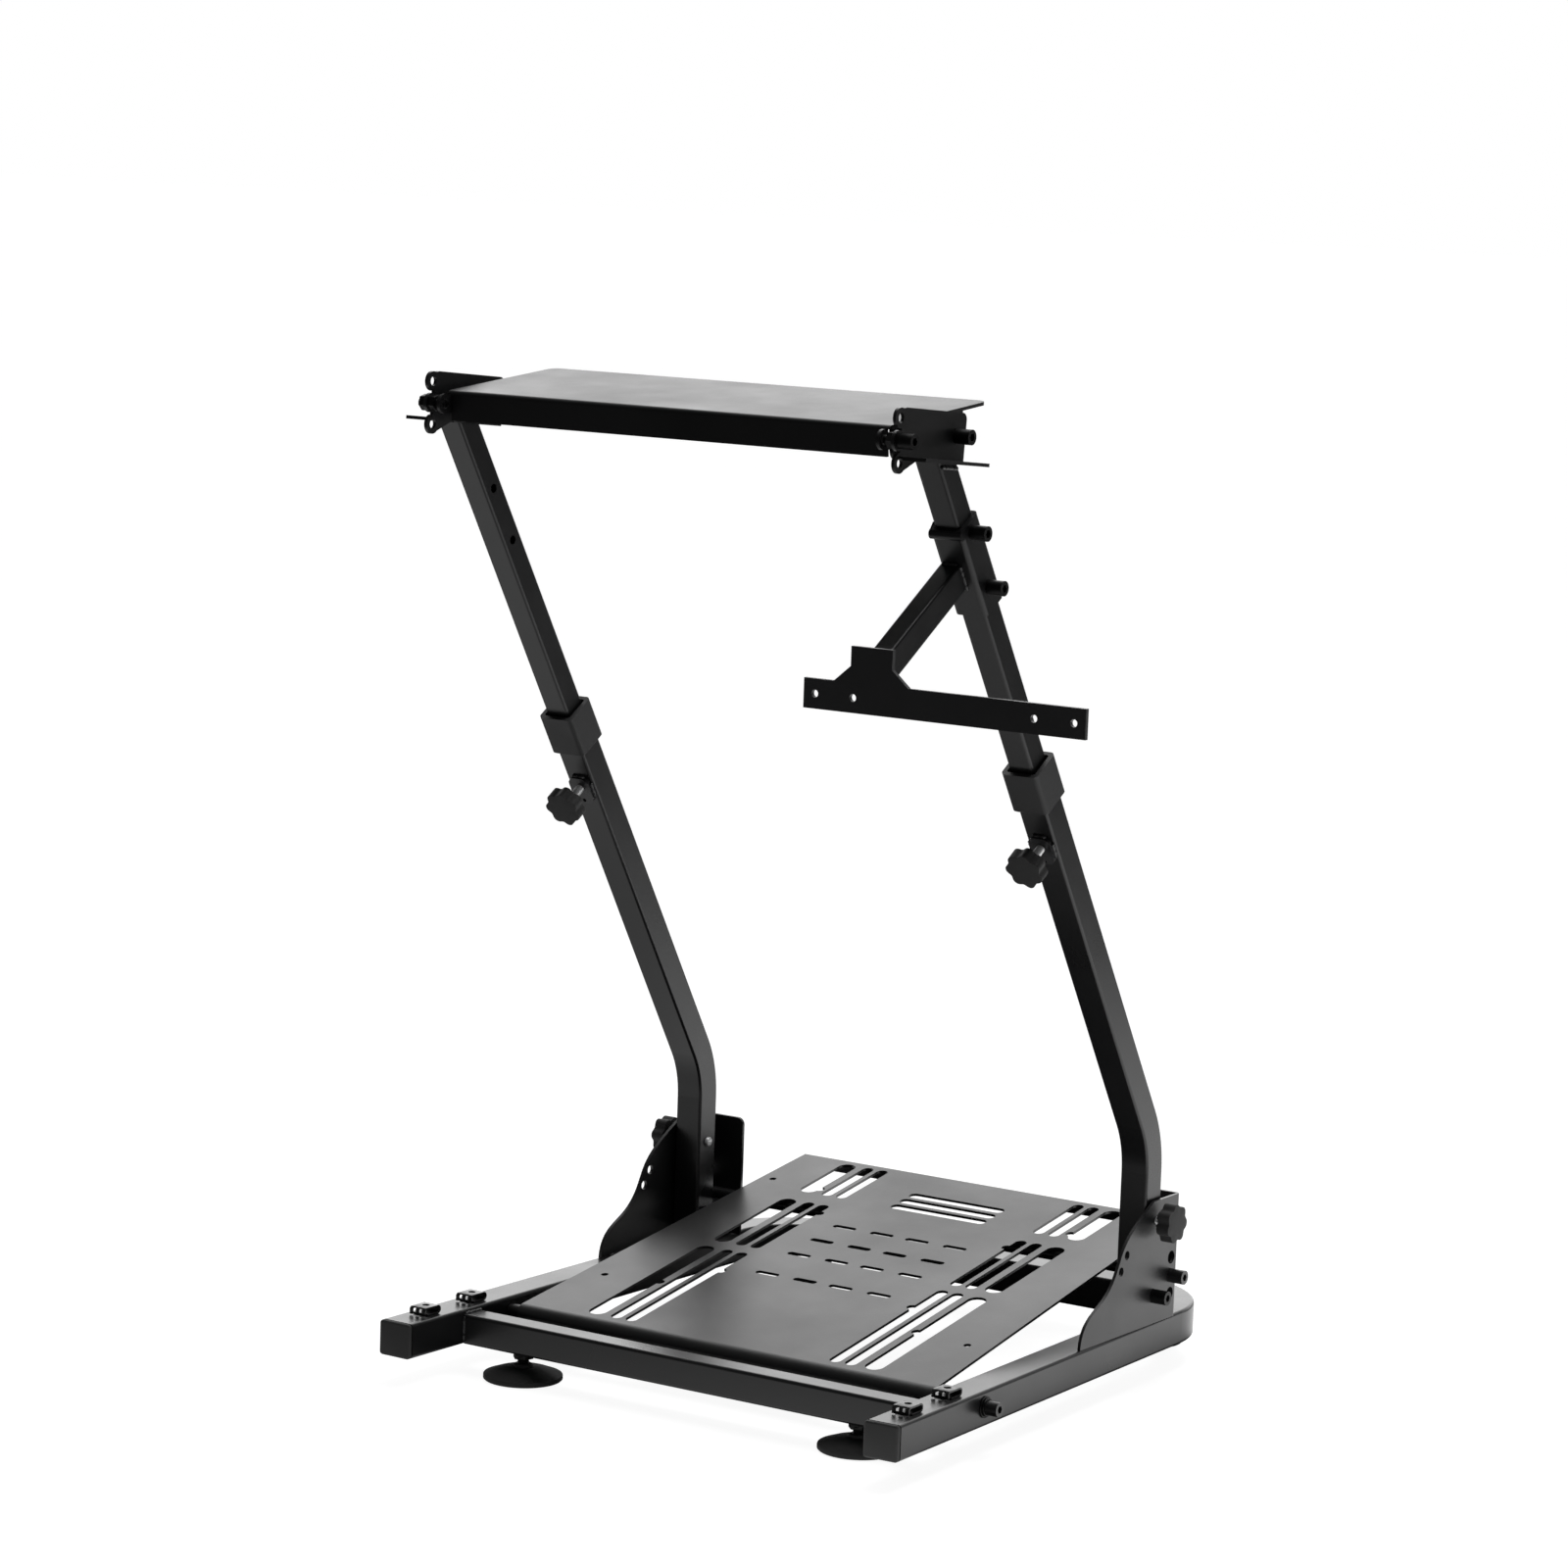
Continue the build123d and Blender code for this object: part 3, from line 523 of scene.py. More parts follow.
def weld_bead(context, name, radius, ripple, length):
    """Weld bead along +Z from the origin: uneven ripples that run out at both ends."""
    turns = max(int(length / ripple), 2)
    step = length / turns / 2
    profile = [(radius * BEAD_END, 0)]
    for index in range(2 * turns - 1):
        swell = BEAD_DIP if index % 2 else 1 + BEAD_SWELL * sin(BEAD_WAVE * index)
        profile.append((radius * swell, step * (index + 1)))
    profile.append((radius * BEAD_END, length))
    return turned(context, name, "weld_coat", profile, 12, 60)


def hex_nut(context, name, material, radius, hole, thickness):
    """Six-sided nut along +Z from the origin, with bevelled corners and a threaded hole's edge."""
    start_piece(context)
    start = (0, 0, thickness / 2)
    bpy.ops.mesh.primitive_cylinder_add(vertices=6, radius=radius, depth=thickness, location=start)
    edit_piece()
    select_faces(context, lambda normal: abs(normal.z) > FACING)
    bpy.ops.mesh.inset(thickness=(radius - hole) * NUT_LAND, use_individual=True)
    bpy.ops.object.mode_set(mode="OBJECT")
    piece = context.active_object
    apply_modifier(piece, "BEVEL", width=thickness * NUT_BEVEL, segments=2, limit_method="ANGLE")
    return finish_piece(context, name, material, 35)


class STAND_OT_knobs(bpy.types.Operator):
    """Shape one star knob and set a copy on each of the four studs."""

    bl_idname = "stand.knobs"
    bl_label = "Star knobs"

    lobes = 7
    steps = 8
    hollow = 0.17
    hollow_power = 1.5
    face_rim = 0.10
    face_slope = 0.20
    face_dome = 0.05
    back_rim = 0.12
    back_slope = 0.22
    hub_depth = 0.3
    hub_taper = 0.9
    hub_edge = 0.06
    rounding = 0.16

    def execute(self, context):
        hardware = context.scene.stand_hardware
        pattern = self.grip(context, hardware.knob_radius, hardware.knob_thickness)
        for side, sign in SIDES:
            joint = JOINTS[f"{side}_height_knob_turn"]
            place = Vector(joint["pos_m"]) + AHEAD * hardware.height_knob_start
            name = f"{side}_height_star"
            knob = placed(pattern, name, f"{side}_height_knob", place, AHEAD)
            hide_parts(f"{side}_height_knob")
            joint = JOINTS[f"{side}_fold_knob_turn"]
            face = outer_x(f"{side}_gusset", sign)
            place = Vector((face + sign * hardware.fold_knob_start, joint["pos_m"][1], joint["pos_m"][2]))
            name = f"{side}_fold_star"
            knob = placed(pattern, name, f"{side}_fold_knob", place, (sign, 0, 0))
            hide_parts(f"{side}_fold_knob")
        discard(pattern)
        return {"FINISHED"}

    def grip(self, context, radius, depth):
        """Lobed grip along +Z from the origin, with a domed face and a hub at the back."""
        count = self.lobes * self.steps
        start_piece(context)
        place = (0, 0, depth / 2)
        bpy.ops.mesh.primitive_cylinder_add(vertices=count, radius=radius, depth=depth, location=place)
        edit_piece()
        for offset in range(self.steps):
            wave = 0.5 + 0.5 * cos(2 * pi * offset / self.steps)
            pull = 1 - self.hollow * (1 - wave) ** self.hollow_power

            def in_step(place, offset=offset):
                turn = atan2(place.y, place.x) / (2 * pi) * count
                return round(turn) % self.steps == offset

            select_points(context, in_step)
            bpy.ops.transform.resize(value=(pull, pull, 1), center_override=(0, 0, 0))
        select_faces(context, lambda normal: normal.z > FACING)
        bpy.ops.mesh.inset(thickness=radius * self.face_rim)
        bpy.ops.mesh.inset(thickness=radius * self.face_slope)
        bpy.ops.transform.translate(value=(0, 0, depth * self.face_dome))
        select_faces(context, lambda normal: normal.z < -FACING)
        bpy.ops.mesh.inset(thickness=radius * self.back_rim)
        bpy.ops.mesh.inset(thickness=radius * self.back_slope)
        extrude((0, 0, -depth * self.hub_depth))
        bpy.ops.transform.resize(value=(self.hub_taper, self.hub_taper, 1), center_override=(0, 0, 0))
        bpy.ops.mesh.inset(thickness=radius * self.hub_edge)
        bpy.ops.object.mode_set(mode="OBJECT")
        piece = context.active_object
        width = depth * self.rounding
        sharp = radians(50)
        apply_modifier(piece, "BEVEL", width=width, segments=3, limit_method="ANGLE", angle_limit=sharp)
        apply_modifier(piece, "SUBSURF", levels=1, render_levels=1)
        return finish_piece(context, "knob_pattern", "knob_plastic", 50)


class STAND_OT_studs(bpy.types.Operator):
    """Turn the bright threaded studs of the knobs and the stud ends inside the uprights."""

    bl_idname = "stand.studs"
    bl_label = "Studs"

    end_profile = ((1.15, 0), (1.15, 1.8), (1.02, 2.6), (0.6, 3.1))

    def execute(self, context):
        hardware = context.scene.stand_hardware
        radius = hardware.stud_radius
        pitch = hardware.thread_pitch
        sink = hardware.stud_sink
        reach = hardware.height_knob_start - hardware.stud_start
        long_stud = thread(context, "stud_pattern", radius, pitch, reach)
        short_stud = thread(context, "short_stud_pattern", radius, pitch, hardware.fold_knob_start + sink)
        tip = [(radius * share, height * MM) for share, height in self.end_profile]
        end_stud = turned(context, "stud_end_pattern", "zinc_plate", tip, 32)
        for side, sign in SIDES:
            joint = JOINTS[f"{side}_height_knob_turn"]
            place = Vector(joint["pos_m"]) + AHEAD * hardware.stud_start
            placed(long_stud, f"{side}_height_stud", f"{side}_height_knob", place, AHEAD)
            face = outer_x(f"{side}_gusset", sign)
            joint = JOINTS[f"{side}_fold_knob_turn"]
            y, z = joint["pos_m"][1:]
            place = (face - sign * sink, y, z)
            placed(short_stud, f"{side}_fold_stud", f"{side}_fold_knob", place, (sign, 0, 0))
            inner = outer_x(f"{side}_lower_tube", -sign)
            placed(end_stud, f"{side}_lock_stud_end", "uprights", (inner, y, z), (-sign, 0, 0))
        discard(long_stud, short_stud, end_stud)
        return {"FINISHED"}


class STAND_OT_washers(bpy.types.Operator):
    """Make a flat and a spring washer and set copies under the bolt heads outside the rails."""

    bl_idname = "stand.washers"
    bl_label = "Washers"

    softened = 0.25

    def ring(self, context, name, outer, hole, thick):
        """Flat ring along +Z from the origin with softened edges."""
        start_piece(context)
        bpy.ops.mesh.primitive_circle_add(vertices=40, radius=outer, fill_type="NGON")
        bpy.ops.object.mode_set(mode="EDIT")
        bpy.ops.mesh.select_all(action="SELECT")
        bpy.ops.mesh.inset(thickness=outer - hole)
        bpy.ops.mesh.delete(type="ONLY_FACE")
        bpy.ops.mesh.select_all(action="SELECT")
        extrude((0, 0, thick))
        bpy.ops.mesh.select_all(action="SELECT")
        bpy.ops.mesh.normals_make_consistent(inside=False)
        bpy.ops.object.mode_set(mode="OBJECT")
        width = thick * self.softened
        apply_modifier(context.active_object, "BEVEL", width=width, segments=2, limit_method="ANGLE")
        return finish_piece(context, name, "bolt_black", 35)

    def execute(self, context):
        hardware = context.scene.stand_hardware
        hole = hardware.washer_hole
        thick = hardware.washer_thickness
        flat = self.ring(context, "washer_pattern", hardware.washer_radius, hole, thick)
        split = hardware.spring_thickness
        spring = self.ring(context, "spring_pattern", hardware.spring_radius, hole, split)
        y, z = middle("hinge_rod").yz
        for side, sign in SIDES:
            seat = outer_x("hinge_rod", sign) - sign * hardware.bolt_head
            placed(flat, f"{side}_rail_washer", "base", (seat, y, z), (sign, 0, 0))
            place = (seat + sign * thick, y, z)
            placed(spring, f"{side}_rail_spring_washer", "base", place, (sign, 0, 0))
        discard(flat, spring)
        return {"FINISHED"}


class STAND_OT_lock_bolt(bpy.types.Operator):
    """Set the left lock bolt of the deck with its nut on the outside of the bracket."""

    bl_idname = "stand.lock_bolt"
    bl_label = "Left lock bolt"

    def execute(self, context):
        hardware = context.scene.stand_hardware
        name = "left_deck_lock_bolt"
        y, z = middle(name).yz
        seat = outer_x(name, -1) + hardware.bolt_head
        inside = outer_x("left_top_bracket", 1)
        thick = hardware.nut_thickness
        tip = seat - thick - 2 * hardware.thread_pitch
        radius = hardware.stud_radius
        nut = hex_nut(context, "nut_pattern", "bolt_black", hardware.nut_radius, radius, thick)
        length = outer_x(name, 1) - tip
        rod = thread(context, "rod_pattern", radius, hardware.thread_pitch, length, "bolt_black")
        outer = placed(nut, f"{name}_nut", "wheel_frame", (seat, y, z), (-1, 0, 0))
        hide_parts(name)
        placed(nut, f"{name}_inner_nut", "wheel_frame", (inside, y, z), (1, 0, 0))
        placed(rod, f"{name}_thread", "wheel_frame", (tip, y, z), (1, 0, 0))
        discard(nut, rod)
        return {"FINISHED"}


class STAND_OT_feet(bpy.types.Operator):
    """Turn one levelling foot with its thread and locknut, and set a copy under each corner."""

    bl_idname = "stand.feet"
    bl_label = "Levelling feet"

    steps = 6
    rim_edge = 0.2
    dome_power = 1.8
    hub_profile = ((0.95, 2.0), (0.86, 2.7))
    hub_top = 3 * MM
    overlap = 0.5 * MM

    def pad_profile(self, hardware, reach):
        """Rim with a rounded edge, a shallow dome and a hub."""
        rim = hardware.pad_rim
        hub = hardware.pad_hub
        edge = rim * self.rim_edge
        profile = [(reach - edge, 0), (reach, edge), (reach, rim - edge)]
        profile.append((reach - edge * 0.4, rim - edge * 0.3))
        inner = reach - 2 * edge
        for index in range(self.steps + 1):
            share = index / self.steps
            rise = hardware.pad_dome * (1 - (1 - share) ** self.dome_power)
            profile.append((inner + (hub - inner) * share, rim + rise))
        top = rim + hardware.pad_dome
        profile.extend((hub * share, top + height * MM) for share, height in self.hub_profile)
        profile.append((hardware.stem_radius * THREAD_ROOT, top + self.hub_top))
        return profile

    def execute(self, context):
        hardware = context.scene.stand_hardware
        low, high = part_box("left_front_foot")
        top = high[2]
        profile = self.pad_profile(hardware, (high[0] - low[0]) / 2)
        pad = turned(context, "pad_pattern", "foot_rubber", profile, 64)
        start = profile[-1][1] - self.overlap
        radius = hardware.stem_radius
        stem = thread(context, "stem_pattern", radius, hardware.thread_pitch, top - start, "bolt_black")
        thick = hardware.locknut_thickness
        locknut = hex_nut(context, "locknut_pattern", "bolt_black", hardware.locknut_radius, radius, thick)
        for side, _ in SIDES:
            for end in ("front", "rear"):
                name = f"{side}_{end}_foot"
                x, y = middle(name).xy
                disc = placed(pad, f"{name}_pad", "base", (x, y, 0), (0, 0, 1))
                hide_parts(name)
                placed(stem, f"{name}_thread", "base", (x, y, start), (0, 0, 1))
                placed(locknut, f"{name}_nut", "base", (x, y, top - thick), (0, 0, 1))
        discard(pad, stem, locknut)
        return {"FINISHED"}


class STAND_OT_clips(bpy.types.Operator):
    """Fold one rail clip from a strip and set a copy at each clip's place."""

    bl_idname = "stand.clips"
    bl_label = "Rail clips"

    prongs = 5
    bends = 6
    lower_leaf = 0.85
    fold = 0.8
    softened = 0.16

    def execute(self, context):
        hardware = context.scene.stand_hardware
        width = hardware.clip_width
        length = hardware.clip_length
        sheet = hardware.clip_sheet
        radius = (hardware.clip_height - sheet) / 2
        upper = hardware.clip_height - sheet / 2
        back = length / 2 - radius
        start_piece(context)
        bpy.ops.mesh.primitive_grid_add(x_subdivisions=self.prongs, y_subdivisions=1, size=1)
        bpy.ops.transform.resize(value=(width, length - radius, 1))
        bpy.ops.transform.translate(value=(0, -radius / 2, upper))
        edit_piece()
        select_points(context, lambda place: place.y > back - NEAR)
        for index in range(self.bends):
            first = pi * index / self.bends
            second = pi * (index + 1) / self.bends
            extrude((0, radius * (sin(second) - sin(first)), radius * (cos(second) - cos(first))))
        extrude((0, radius - length * self.lower_leaf, 0))

        def is_prong(first, second):
            at_front = all(end.y < NEAR - length / 2 and end.z > upper - NEAR for end in (first, second))
            column = int(((first.x + second.x) / 2 / width + 0.5) * self.prongs)
            return at_front and column % 2 == 0

        select_edges(context, is_prong)
        fold = sheet * self.fold
        extrude((0, -fold, -fold))
        extrude((0, 0, sheet / 2 + fold - upper))
        bpy.ops.mesh.select_mode(type="VERT")
        bpy.ops.mesh.select_all(action="SELECT")
        bpy.ops.mesh.normals_make_consistent(inside=False)
        bpy.ops.object.mode_set(mode="OBJECT")
        clip = context.active_object
        apply_modifier(clip, "SOLIDIFY", thickness=sheet, offset=0.0)
        self.drill(context, clip, hardware.clip_hole, upper)
        apply_modifier(clip, "BEVEL", width=sheet * self.softened, segments=2, limit_method="ANGLE")
        pattern = finish_piece(context, "clip_pattern", "tube_coat", 20)
        for side, sign in SIDES:
            for end in ("front", "rear"):
                name = f"{side}_{end}_clip"
                place = (*middle(name).xy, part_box(name)[0][2])
                across = rail_ways(sign)[0]
                piece = placed(pattern, f"{name}_fold", "base", place, (0, 0, 1), across)
                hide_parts(name)
        discard(pattern)
        return {"FINISHED"}

    def drill(self, context, clip, radius, height):
        """Cut the round hole through the clip's upper leaf."""
        bpy.ops.object.select_all(action="DESELECT")
        place = (0, 0, height)
        bpy.ops.mesh.primitive_cylinder_add(vertices=28, radius=radius, depth=height, location=place)
        cutter = context.active_object
        bpy.ops.object.select_all(action="DESELECT")
        clip.select_set(True)
        context.view_layer.objects.active = clip
        apply_modifier(clip, "BOOLEAN", object=cutter, operation="DIFFERENCE", solver="EXACT")
        discard(cutter)


class STAND_OT_caps(bpy.types.Operator):
    """Mould one end cap with rounded edges and set a copy in the front end of each rail."""

    bl_idname = "stand.caps"
    bl_label = "End caps"

    steps = 4

    def round_over(self, radius):
        """Round the edge of the selected face, inward and outward in small steps."""
        for index in range(self.steps):
            first = pi / 2 * index / self.steps
            second = pi / 2 * (index + 1) / self.steps
            inward = radius * (cos(first) - cos(second))
            outward = radius * (sin(second) - sin(first))
            bpy.ops.mesh.inset(thickness=inward, depth=outward)

    def execute(self, context):
        hardware = context.scene.stand_hardware
        low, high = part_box("right_side_rail")
        height = high[2] - low[2]
        face = hardware.cap_thickness
        width = hardware.rail_width
        body = face - hardware.cap_edge - hardware.cap_groove
        start_piece(context)
        start = (0, 0, hardware.cap_groove + body / 2)
        bpy.ops.mesh.primitive_cube_add(size=1, location=start, scale=(width, height, body))
        edit_piece()
        select_edges(context, lambda first, second: abs(first.z - second.z) > body / 2)
        bpy.ops.mesh.bevel(offset=hardware.rail_corner, segments=5, affect="EDGES")
        bpy.ops.mesh.select_mode(type="FACE")
        select_faces(context, lambda normal: normal.z > FACING)
        self.round_over(hardware.cap_edge)
        select_faces(context, lambda normal: normal.z < -FACING)
        self.round_over(hardware.cap_groove)
        bpy.ops.mesh.select_mode(type="VERT")
        pattern = finish_piece(context, "cap_pattern", "cap_plastic", 50)
        for side, sign in SIDES:
            name = f"{side}_end_cap"
            outer = outer_x(name, sign)
            across, outward = rail_ways(sign)
            front = Vector((outer - sign * width / 2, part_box(name)[0][1], middle(name).z))
            place = front - outward * face
            piece = placed(pattern, f"{side}_rail_cap", "base", place, outward, across)
            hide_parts(name)
        discard(pattern)
        return {"FINISHED"}


class STAND_OT_welds(bpy.types.Operator):
    """Lay rippled weld beads along the seams of the frame."""

    bl_idname = "stand.welds"
    bl_label = "Weld beads"

    cross_sink = 0.6 * MM
    cross_end = 2 * MM
    cross_lean = 0.7 * MM
    gusset_sheet = 3 * MM
    gusset_front = 12 * MM
    gusset_rear = 10 * MM
    flange_edge = 3 * MM
    flange_drop = 3.5 * MM
    flange_run = 26 * MM
    flange_droop = radians(5)
    nut_sink = 1.2 * MM
    nut_gap = 0.3 * MM
    nut_side = 8.5 * MM
    nut_top = 14.2 * MM
    nut_across = 0.6
    arm_end = 2 * MM
    arm_run = 26 * MM

    def cross_seams(self, side, sign):
        """Beads where the front cross tube meets a rail."""
        low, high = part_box("front_crossbar")
        x = outer_x("front_crossbar", sign) - sign * self.cross_sink
        start = (x, low[1], low[2] + self.cross_end)
        yield f"{side}_cross_front_weld", start, (x, low[1], high[2] - self.cross_end), "base"
        end = (x - sign * self.cross_lean, high[1], high[2])
        yield f"{side}_cross_top_weld", (x, low[1], high[2]), end, "base"

    def gusset_seam(self, side, sign):
        """Bead along the inside of a gusset's foot."""
        low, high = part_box(f"{side}_gusset")
        x = outer_x(f"{side}_gusset", sign) - sign * self.gusset_sheet
        start = (x, low[1] + self.gusset_front, low[2])
        yield f"{side}_gusset_weld", start, (x, high[1] - self.gusset_rear, low[2]), "base"

    def flange_seam(self, side, sign):
        """Bead on the outside of an upper tube, under the flange of its bracket."""
        low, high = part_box(f"{side}_upper_tube")
        x = outer_x(f"{side}_upper_tube", sign)
        start = Vector((x, low[1] + self.flange_edge, high[2] - self.flange_drop))
        run = Vector((0, cos(self.flange_droop), -sin(self.flange_droop))) * self.flange_run
        yield f"{side}_flange_weld", start, start + run, "wheel_frame"

    def nut_seams(self, side):
        """Beads down both sides and across the top of a weld nut."""
        name = f"{side}_weld_nut"
        seat = middle(name) - AHEAD * self.nut_sink
        half = (outer_x(name, 1) - outer_x(name, -1)) / 2 + self.nut_gap
        reach = ALONG * self.nut_side
        for way, label in ((-1, "left"), (1, "right")):
            edge = seat + Vector((way * half, 0, 0))
            yield f"{side}_nut_{label}_weld", edge - reach, edge + reach, "uprights"
        top = seat + ALONG * self.nut_top
        across = Vector((half * self.nut_across, 0, 0))
        yield f"{side}_nut_top_weld", top - across, top + across, "uprights"

    def arm_seams(self):
        """Beads on the top and the outside of the arm's root."""
        low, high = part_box("shifter_arm")
        top = max((point.co for point in NODES["shifter_arm"].data.vertices), key=lambda place: place.z)
        root = Vector((0, top.y, top.z))
        left = Vector((low[0] + self.arm_end, 0, 0))
        right = Vector((high[0] - self.arm_end, 0, 0))
        yield "arm_top_weld", root + left, root + right, "wheel_frame"
        outer = root + Vector((high[0], 0, 0))
        yield "arm_side_weld", outer, outer - ALONG * self.arm_run, "wheel_frame"

    def execute(self, context):
        hardware = context.scene.stand_hardware
        seams = list(self.arm_seams())
        for side, sign in SIDES:
            seams.extend(self.cross_seams(side, sign))
            seams.extend(self.gusset_seam(side, sign))
            seams.extend(self.flange_seam(side, sign))
            seams.extend(self.nut_seams(side))
        for name, start, end, body in seams:
            start = Vector(start)
            run = Vector(end) - start
            bead = weld_bead(context, "bead_pattern", hardware.weld_radius, hardware.weld_ripple, run.length)
            placed(bead, name, body, start, run)
            discard(bead)
        return {"FINISHED"}


def floor_pool(tree, place, centre, reach, light, beyond):
    """Round pool of light on the floor that fades to a dimmer value."""
    inputs = {0: place, 1: (*centre, 0)}
    away = add_node(tree, "ShaderNodeVectorMath", (-600, 150), inputs, operation="DISTANCE")
    inputs = {
        "Value": away.outputs["Value"],
        "From Min": reach * POOL_CORE,
        "From Max": reach,
        "To Min": light,
        "To Max": beyond,
    }
    fade = add_node(tree, "ShaderNodeMapRange", (-400, 150), inputs, interpolation_type="SMOOTHSTEP")
    return fade.outputs["Result"]


def floor_shade(tree, place, edge):
    """Nothing under the base and one away from it."""
    side = -outer_x("left_side_rail", -1)
    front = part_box("front_crossbar")[1][1]
    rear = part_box("rear_bow")[1][1]
    along = (front + rear) / 2
    none = (0, 0, 0)
    steps = (
        ("SUBTRACT", (0, along, 0)),
        ("ABSOLUTE", none),
        ("SUBTRACT", (side, rear - along, 1)),
        ("MAXIMUM", none),
        ("LENGTH", none),
    )
    for index, (operation, other) in enumerate(steps):
        inputs = {0: place, 1: other}
        spot = (150 * index - 600, 450)
        node = add_node(tree, "ShaderNodeVectorMath", spot, inputs, operation=operation)
        place = node.outputs[0]
    inputs = {"Value": node.outputs["Value"], "From Max": edge}
    clear = add_node(tree, "ShaderNodeMapRange", (150, 450), inputs, interpolation_type="SMOOTHSTEP")
    return clear.outputs["Result"]


def floor_material(studio):
    """Pale floor: white to the eye with a faint shadow, and pools of light round the stand."""
    material = bpy.data.materials.new("studio_floor_white")
    material.use_nodes = True
    tree = material.node_tree
    tree.nodes.clear()
    shadow = add_node(tree, "ShaderNodeBsdfDiffuse", (0, -100), {"Color": FLOOR_TONE})
    white = add_node(tree, "ShaderNodeEmission", (0, -250), {"Strength": FLOOR_WHITE})
    both = add_node(tree, "ShaderNodeAddShader", (250, -150), {0: shadow.outputs[0], 1: white.outputs[0]})
    place = add_node(tree, "ShaderNodeTexCoord", (-800, 150)).outputs["Object"]
    dim = studio.room_front
    main = floor_pool(tree, place, studio.pool_centre, studio.pool_reach, studio.pool_light, dim)
    fill = floor_pool(tree, place, studio.fill_centre, studio.fill_reach, studio.fill_light, 0.0)
    total = add_node(tree, "ShaderNodeMath", (-250, 150), {0: main, 1: fill}, operation="ADD")
    inputs = {0: total.outputs[0], 1: floor_shade(tree, place, studio.shade_edge)}
    strength = add_node(tree, "ShaderNodeMath", (-150, 150), inputs, operation="MULTIPLY")
    pool = add_node(tree, "ShaderNodeEmission", (0, 150), {"Strength": strength.outputs[0]})
    seen = add_node(tree, "ShaderNodeLightPath", (250, 450)).outputs["Is Camera Ray"]
    inputs = {0: seen, 1: pool.outputs[0], 2: both.outputs[0]}
    choose = add_node(tree, "ShaderNodeMixShader", (550, 0), inputs)
    add_node(tree, "ShaderNodeOutputMaterial", (800, 0), {"Surface": choose.outputs[0]})
    return material


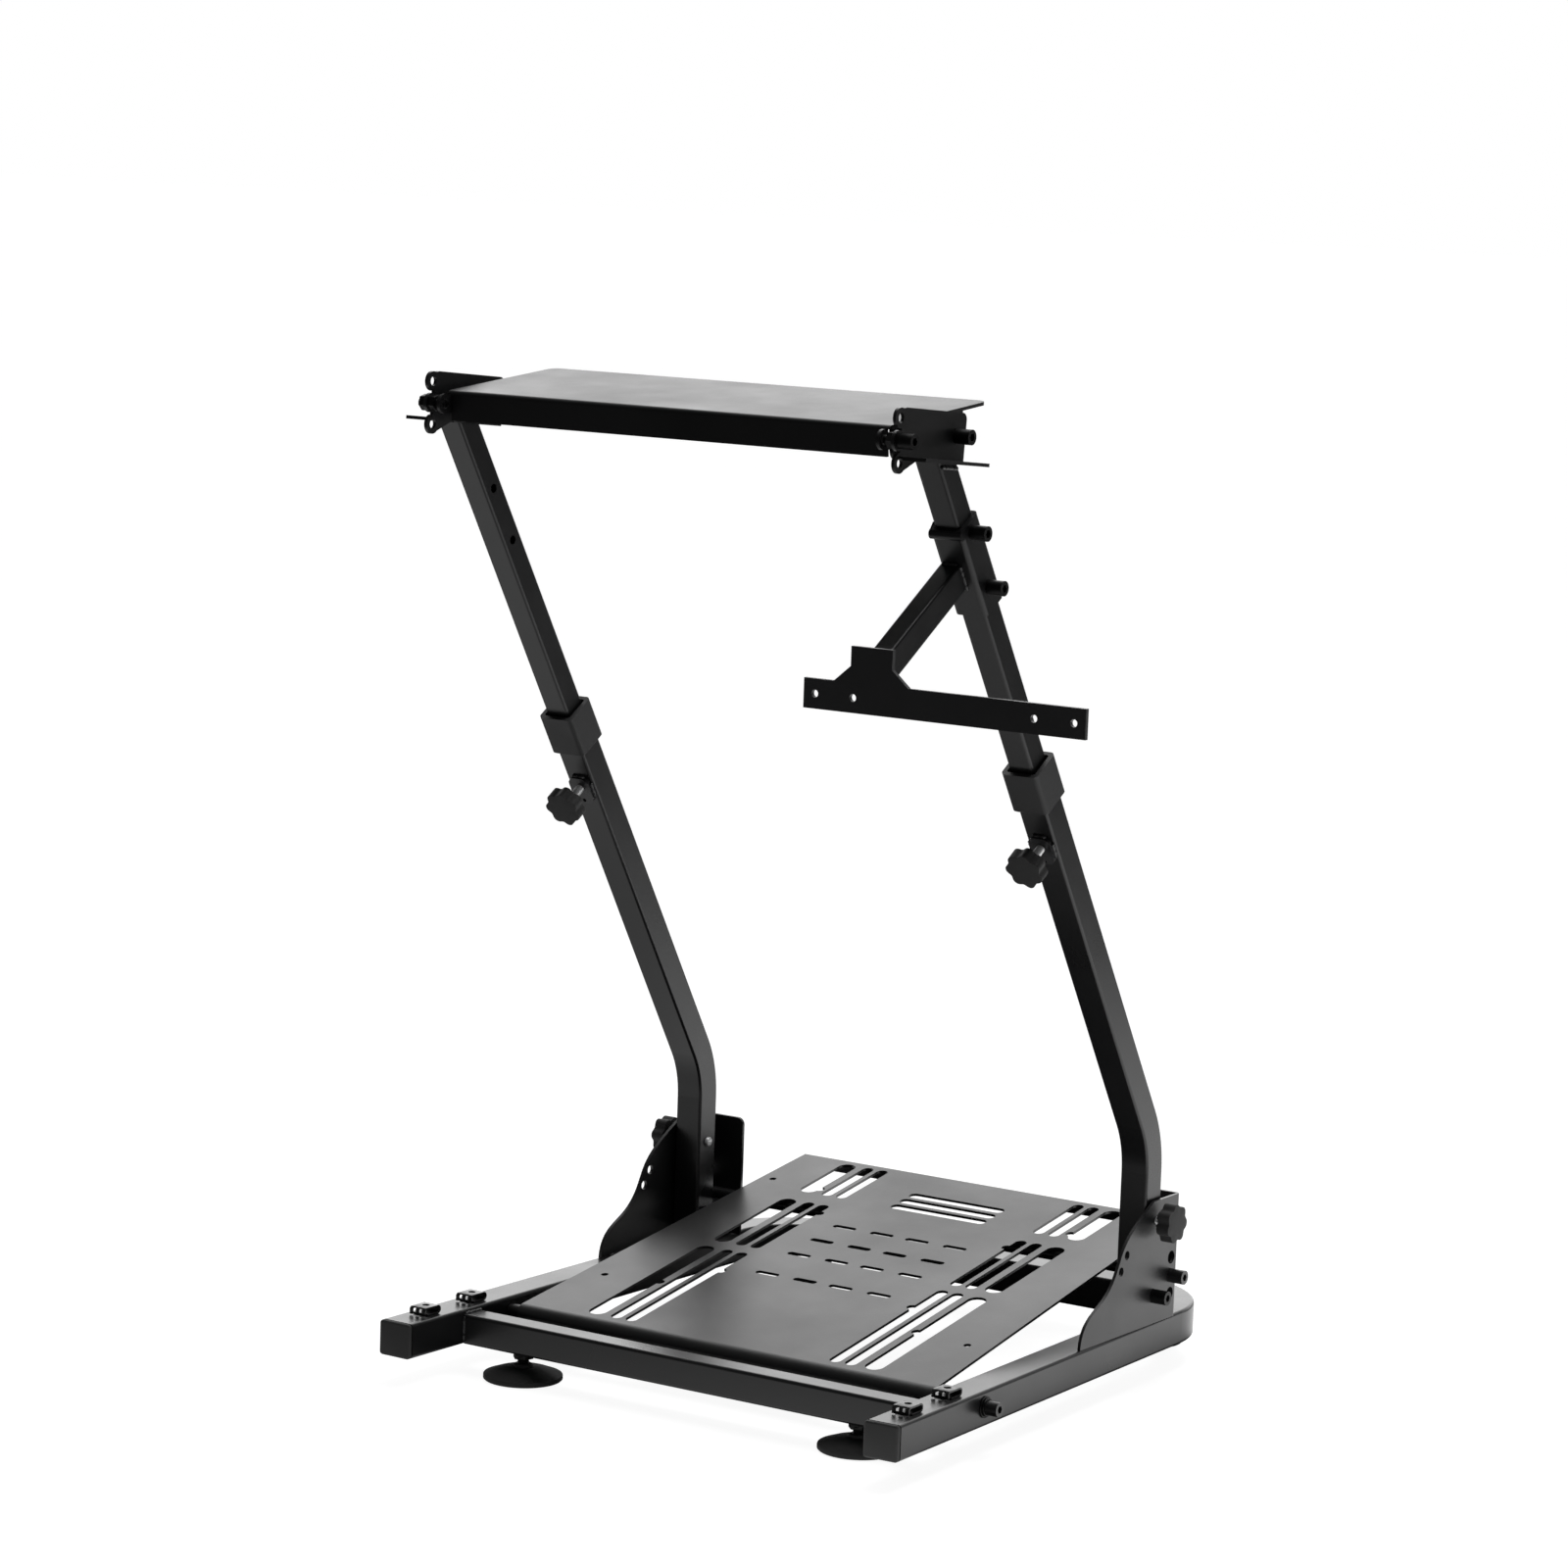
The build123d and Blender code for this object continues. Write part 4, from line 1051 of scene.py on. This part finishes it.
class STAND_OT_studio(bpy.types.Operator):
    """Set up the floor, the lights and the camera."""

    bl_idname = "stand.studio"
    bl_label = "Studio"

    lamps = (
        ("top", (0.1, 0.5, 2.6), 1.6, 34.0),
        ("right", (1.8, 0.8, 0.5), 0.9, 1.5),
    )
    aim = (0, 0, 0.4)
    floor_size = 60
    floor_drop = 0.5 * MM
    backdrop_edge = (0.45, 0.95)
    picture = 1600
    focal = 5109.0
    centre = (814.0, 938.3)

    def execute(self, context):
        studio = context.scene.stand_studio
        start_piece(context)
        bpy.ops.mesh.primitive_plane_add(size=self.floor_size, location=(0, 0, -self.floor_drop))
        floor = context.active_object
        floor.name = "studio_floor"
        floor.data.materials.append(floor_material(studio))
        self.room(context, studio)
        self.camera(context, studio)
        for name, place, size, power in self.lamps:
            bpy.ops.object.light_add(type="AREA", location=place)
            lamp = context.active_object
            lamp.name = f"studio_{name}_light"
            lamp.data.size = size
            lamp.data.energy = power
            toward = Vector(self.aim) - Vector(place)
            lamp.rotation_euler = toward.to_track_quat("-Z", "Y").to_euler()
        context.scene.view_settings.view_transform = "Standard"
        return {"FINISHED"}

    def room(self, context, studio):
        """White to the eye; as a light, a bright backdrop and a dim side where the camera stands."""
        world = bpy.data.worlds.new("studio_room")
        world.use_nodes = True
        tree = world.node_tree
        way = add_node(tree, "ShaderNodeTexCoord", (-600, 0)).outputs["Generated"]
        inputs = {0: way, 1: (-sin(studio.camera_yaw), cos(studio.camera_yaw), 0)}
        toward = add_node(tree, "ShaderNodeVectorMath", (-400, 0), inputs, operation="DOT_PRODUCT")
        inputs = {
            "Value": toward.outputs["Value"],
            "From Min": self.backdrop_edge[0],
            "From Max": self.backdrop_edge[1],
            "To Min": studio.room_front,
            "To Max": studio.room_back,
        }
        fade = add_node(tree, "ShaderNodeMapRange", (-200, 0), inputs)
        light = tree.nodes["Background"]
        feed(tree, light, {"Color": WHITE, "Strength": fade.outputs["Result"]})
        white = add_node(tree, "ShaderNodeBackground", (0, -200), {"Color": WHITE})
        seen = add_node(tree, "ShaderNodeLightPath", (0, 300)).outputs["Is Camera Ray"]
        inputs = {0: seen, 1: light.outputs[0], 2: white.outputs[0]}
        choose = add_node(tree, "ShaderNodeMixShader", (250, 0), inputs)
        feed(tree, tree.nodes["World Output"], {"Surface": choose.outputs[0]})
        context.scene.world = world

    def camera(self, context, studio):
        """Camera at the photograph's angle."""
        yaw = studio.camera_yaw
        pitch = -studio.camera_pitch
        roll = studio.camera_roll
        ahead = Vector((-sin(yaw) * cos(pitch), cos(yaw) * cos(pitch), sin(pitch)))
        level = Vector((cos(yaw), sin(yaw), 0))
        above = level.cross(ahead)
        right = level * cos(roll) + above * sin(roll)
        up = above * cos(roll) - level * sin(roll)
        bpy.ops.object.camera_add()
        camera = context.active_object
        camera.name = "studio_camera"
        turn = Matrix((right, up, -ahead)).transposed()
        camera.matrix_world = Matrix.Translation(studio.camera_place) @ turn.to_4x4()
        camera.data.sensor_fit = "HORIZONTAL"
        camera.data.sensor_width = SENSOR
        camera.data.lens = self.focal * SENSOR / self.picture
        camera.data.shift_x = (self.picture / 2 - self.centre[0]) / self.picture
        camera.data.shift_y = (self.centre[1] - self.picture / 2) / self.picture
        camera.data.clip_end = 100
        context.scene.camera = camera


class STAND_PT_panel(bpy.types.Panel):
    """Sizes, colours and buttons of the stand in the sidebar."""

    bl_idname = "STAND_PT_panel"
    bl_label = "Racing Wheel Stand"
    bl_space_type = "VIEW_3D"
    bl_region_type = "UI"
    bl_category = "Stand"

    def draw(self, context):
        layout = self.layout
        scene = context.scene
        for settings in (scene.stand_finish, scene.stand_hardware, scene.stand_studio):
            for name in settings.__annotations__:
                layout.prop(settings, name)
        for operator in OPERATORS:
            layout.operator(operator.bl_idname)


OPERATORS = (
    STAND_OT_finishes,
    STAND_OT_knobs,
    STAND_OT_studs,
    STAND_OT_washers,
    STAND_OT_lock_bolt,
    STAND_OT_feet,
    STAND_OT_clips,
    STAND_OT_caps,
    STAND_OT_welds,
    STAND_OT_studio,
)
CLASSES = (StandFinish, StandHardware, StandStudio, *OPERATORS, STAND_PT_panel)


def register():
    for entry in CLASSES:
        bpy.utils.register_class(entry)
    bpy.types.Scene.stand_finish = bpy.props.PointerProperty(type=StandFinish)
    bpy.types.Scene.stand_hardware = bpy.props.PointerProperty(type=StandHardware)
    bpy.types.Scene.stand_studio = bpy.props.PointerProperty(type=StandStudio)


def unregister():
    del bpy.types.Scene.stand_studio
    del bpy.types.Scene.stand_hardware
    del bpy.types.Scene.stand_finish
    for entry in reversed(CLASSES):
        bpy.utils.unregister_class(entry)


def main():
    register()
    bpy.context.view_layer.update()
    bpy.ops.stand.finishes()
    bpy.ops.stand.knobs()
    bpy.ops.stand.studs()
    bpy.ops.stand.washers()
    bpy.ops.stand.lock_bolt()
    bpy.ops.stand.feet()
    bpy.ops.stand.clips()
    bpy.ops.stand.caps()
    bpy.ops.stand.welds()
    bpy.ops.stand.studio()
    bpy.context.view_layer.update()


if __name__ == "__main__":
    main()
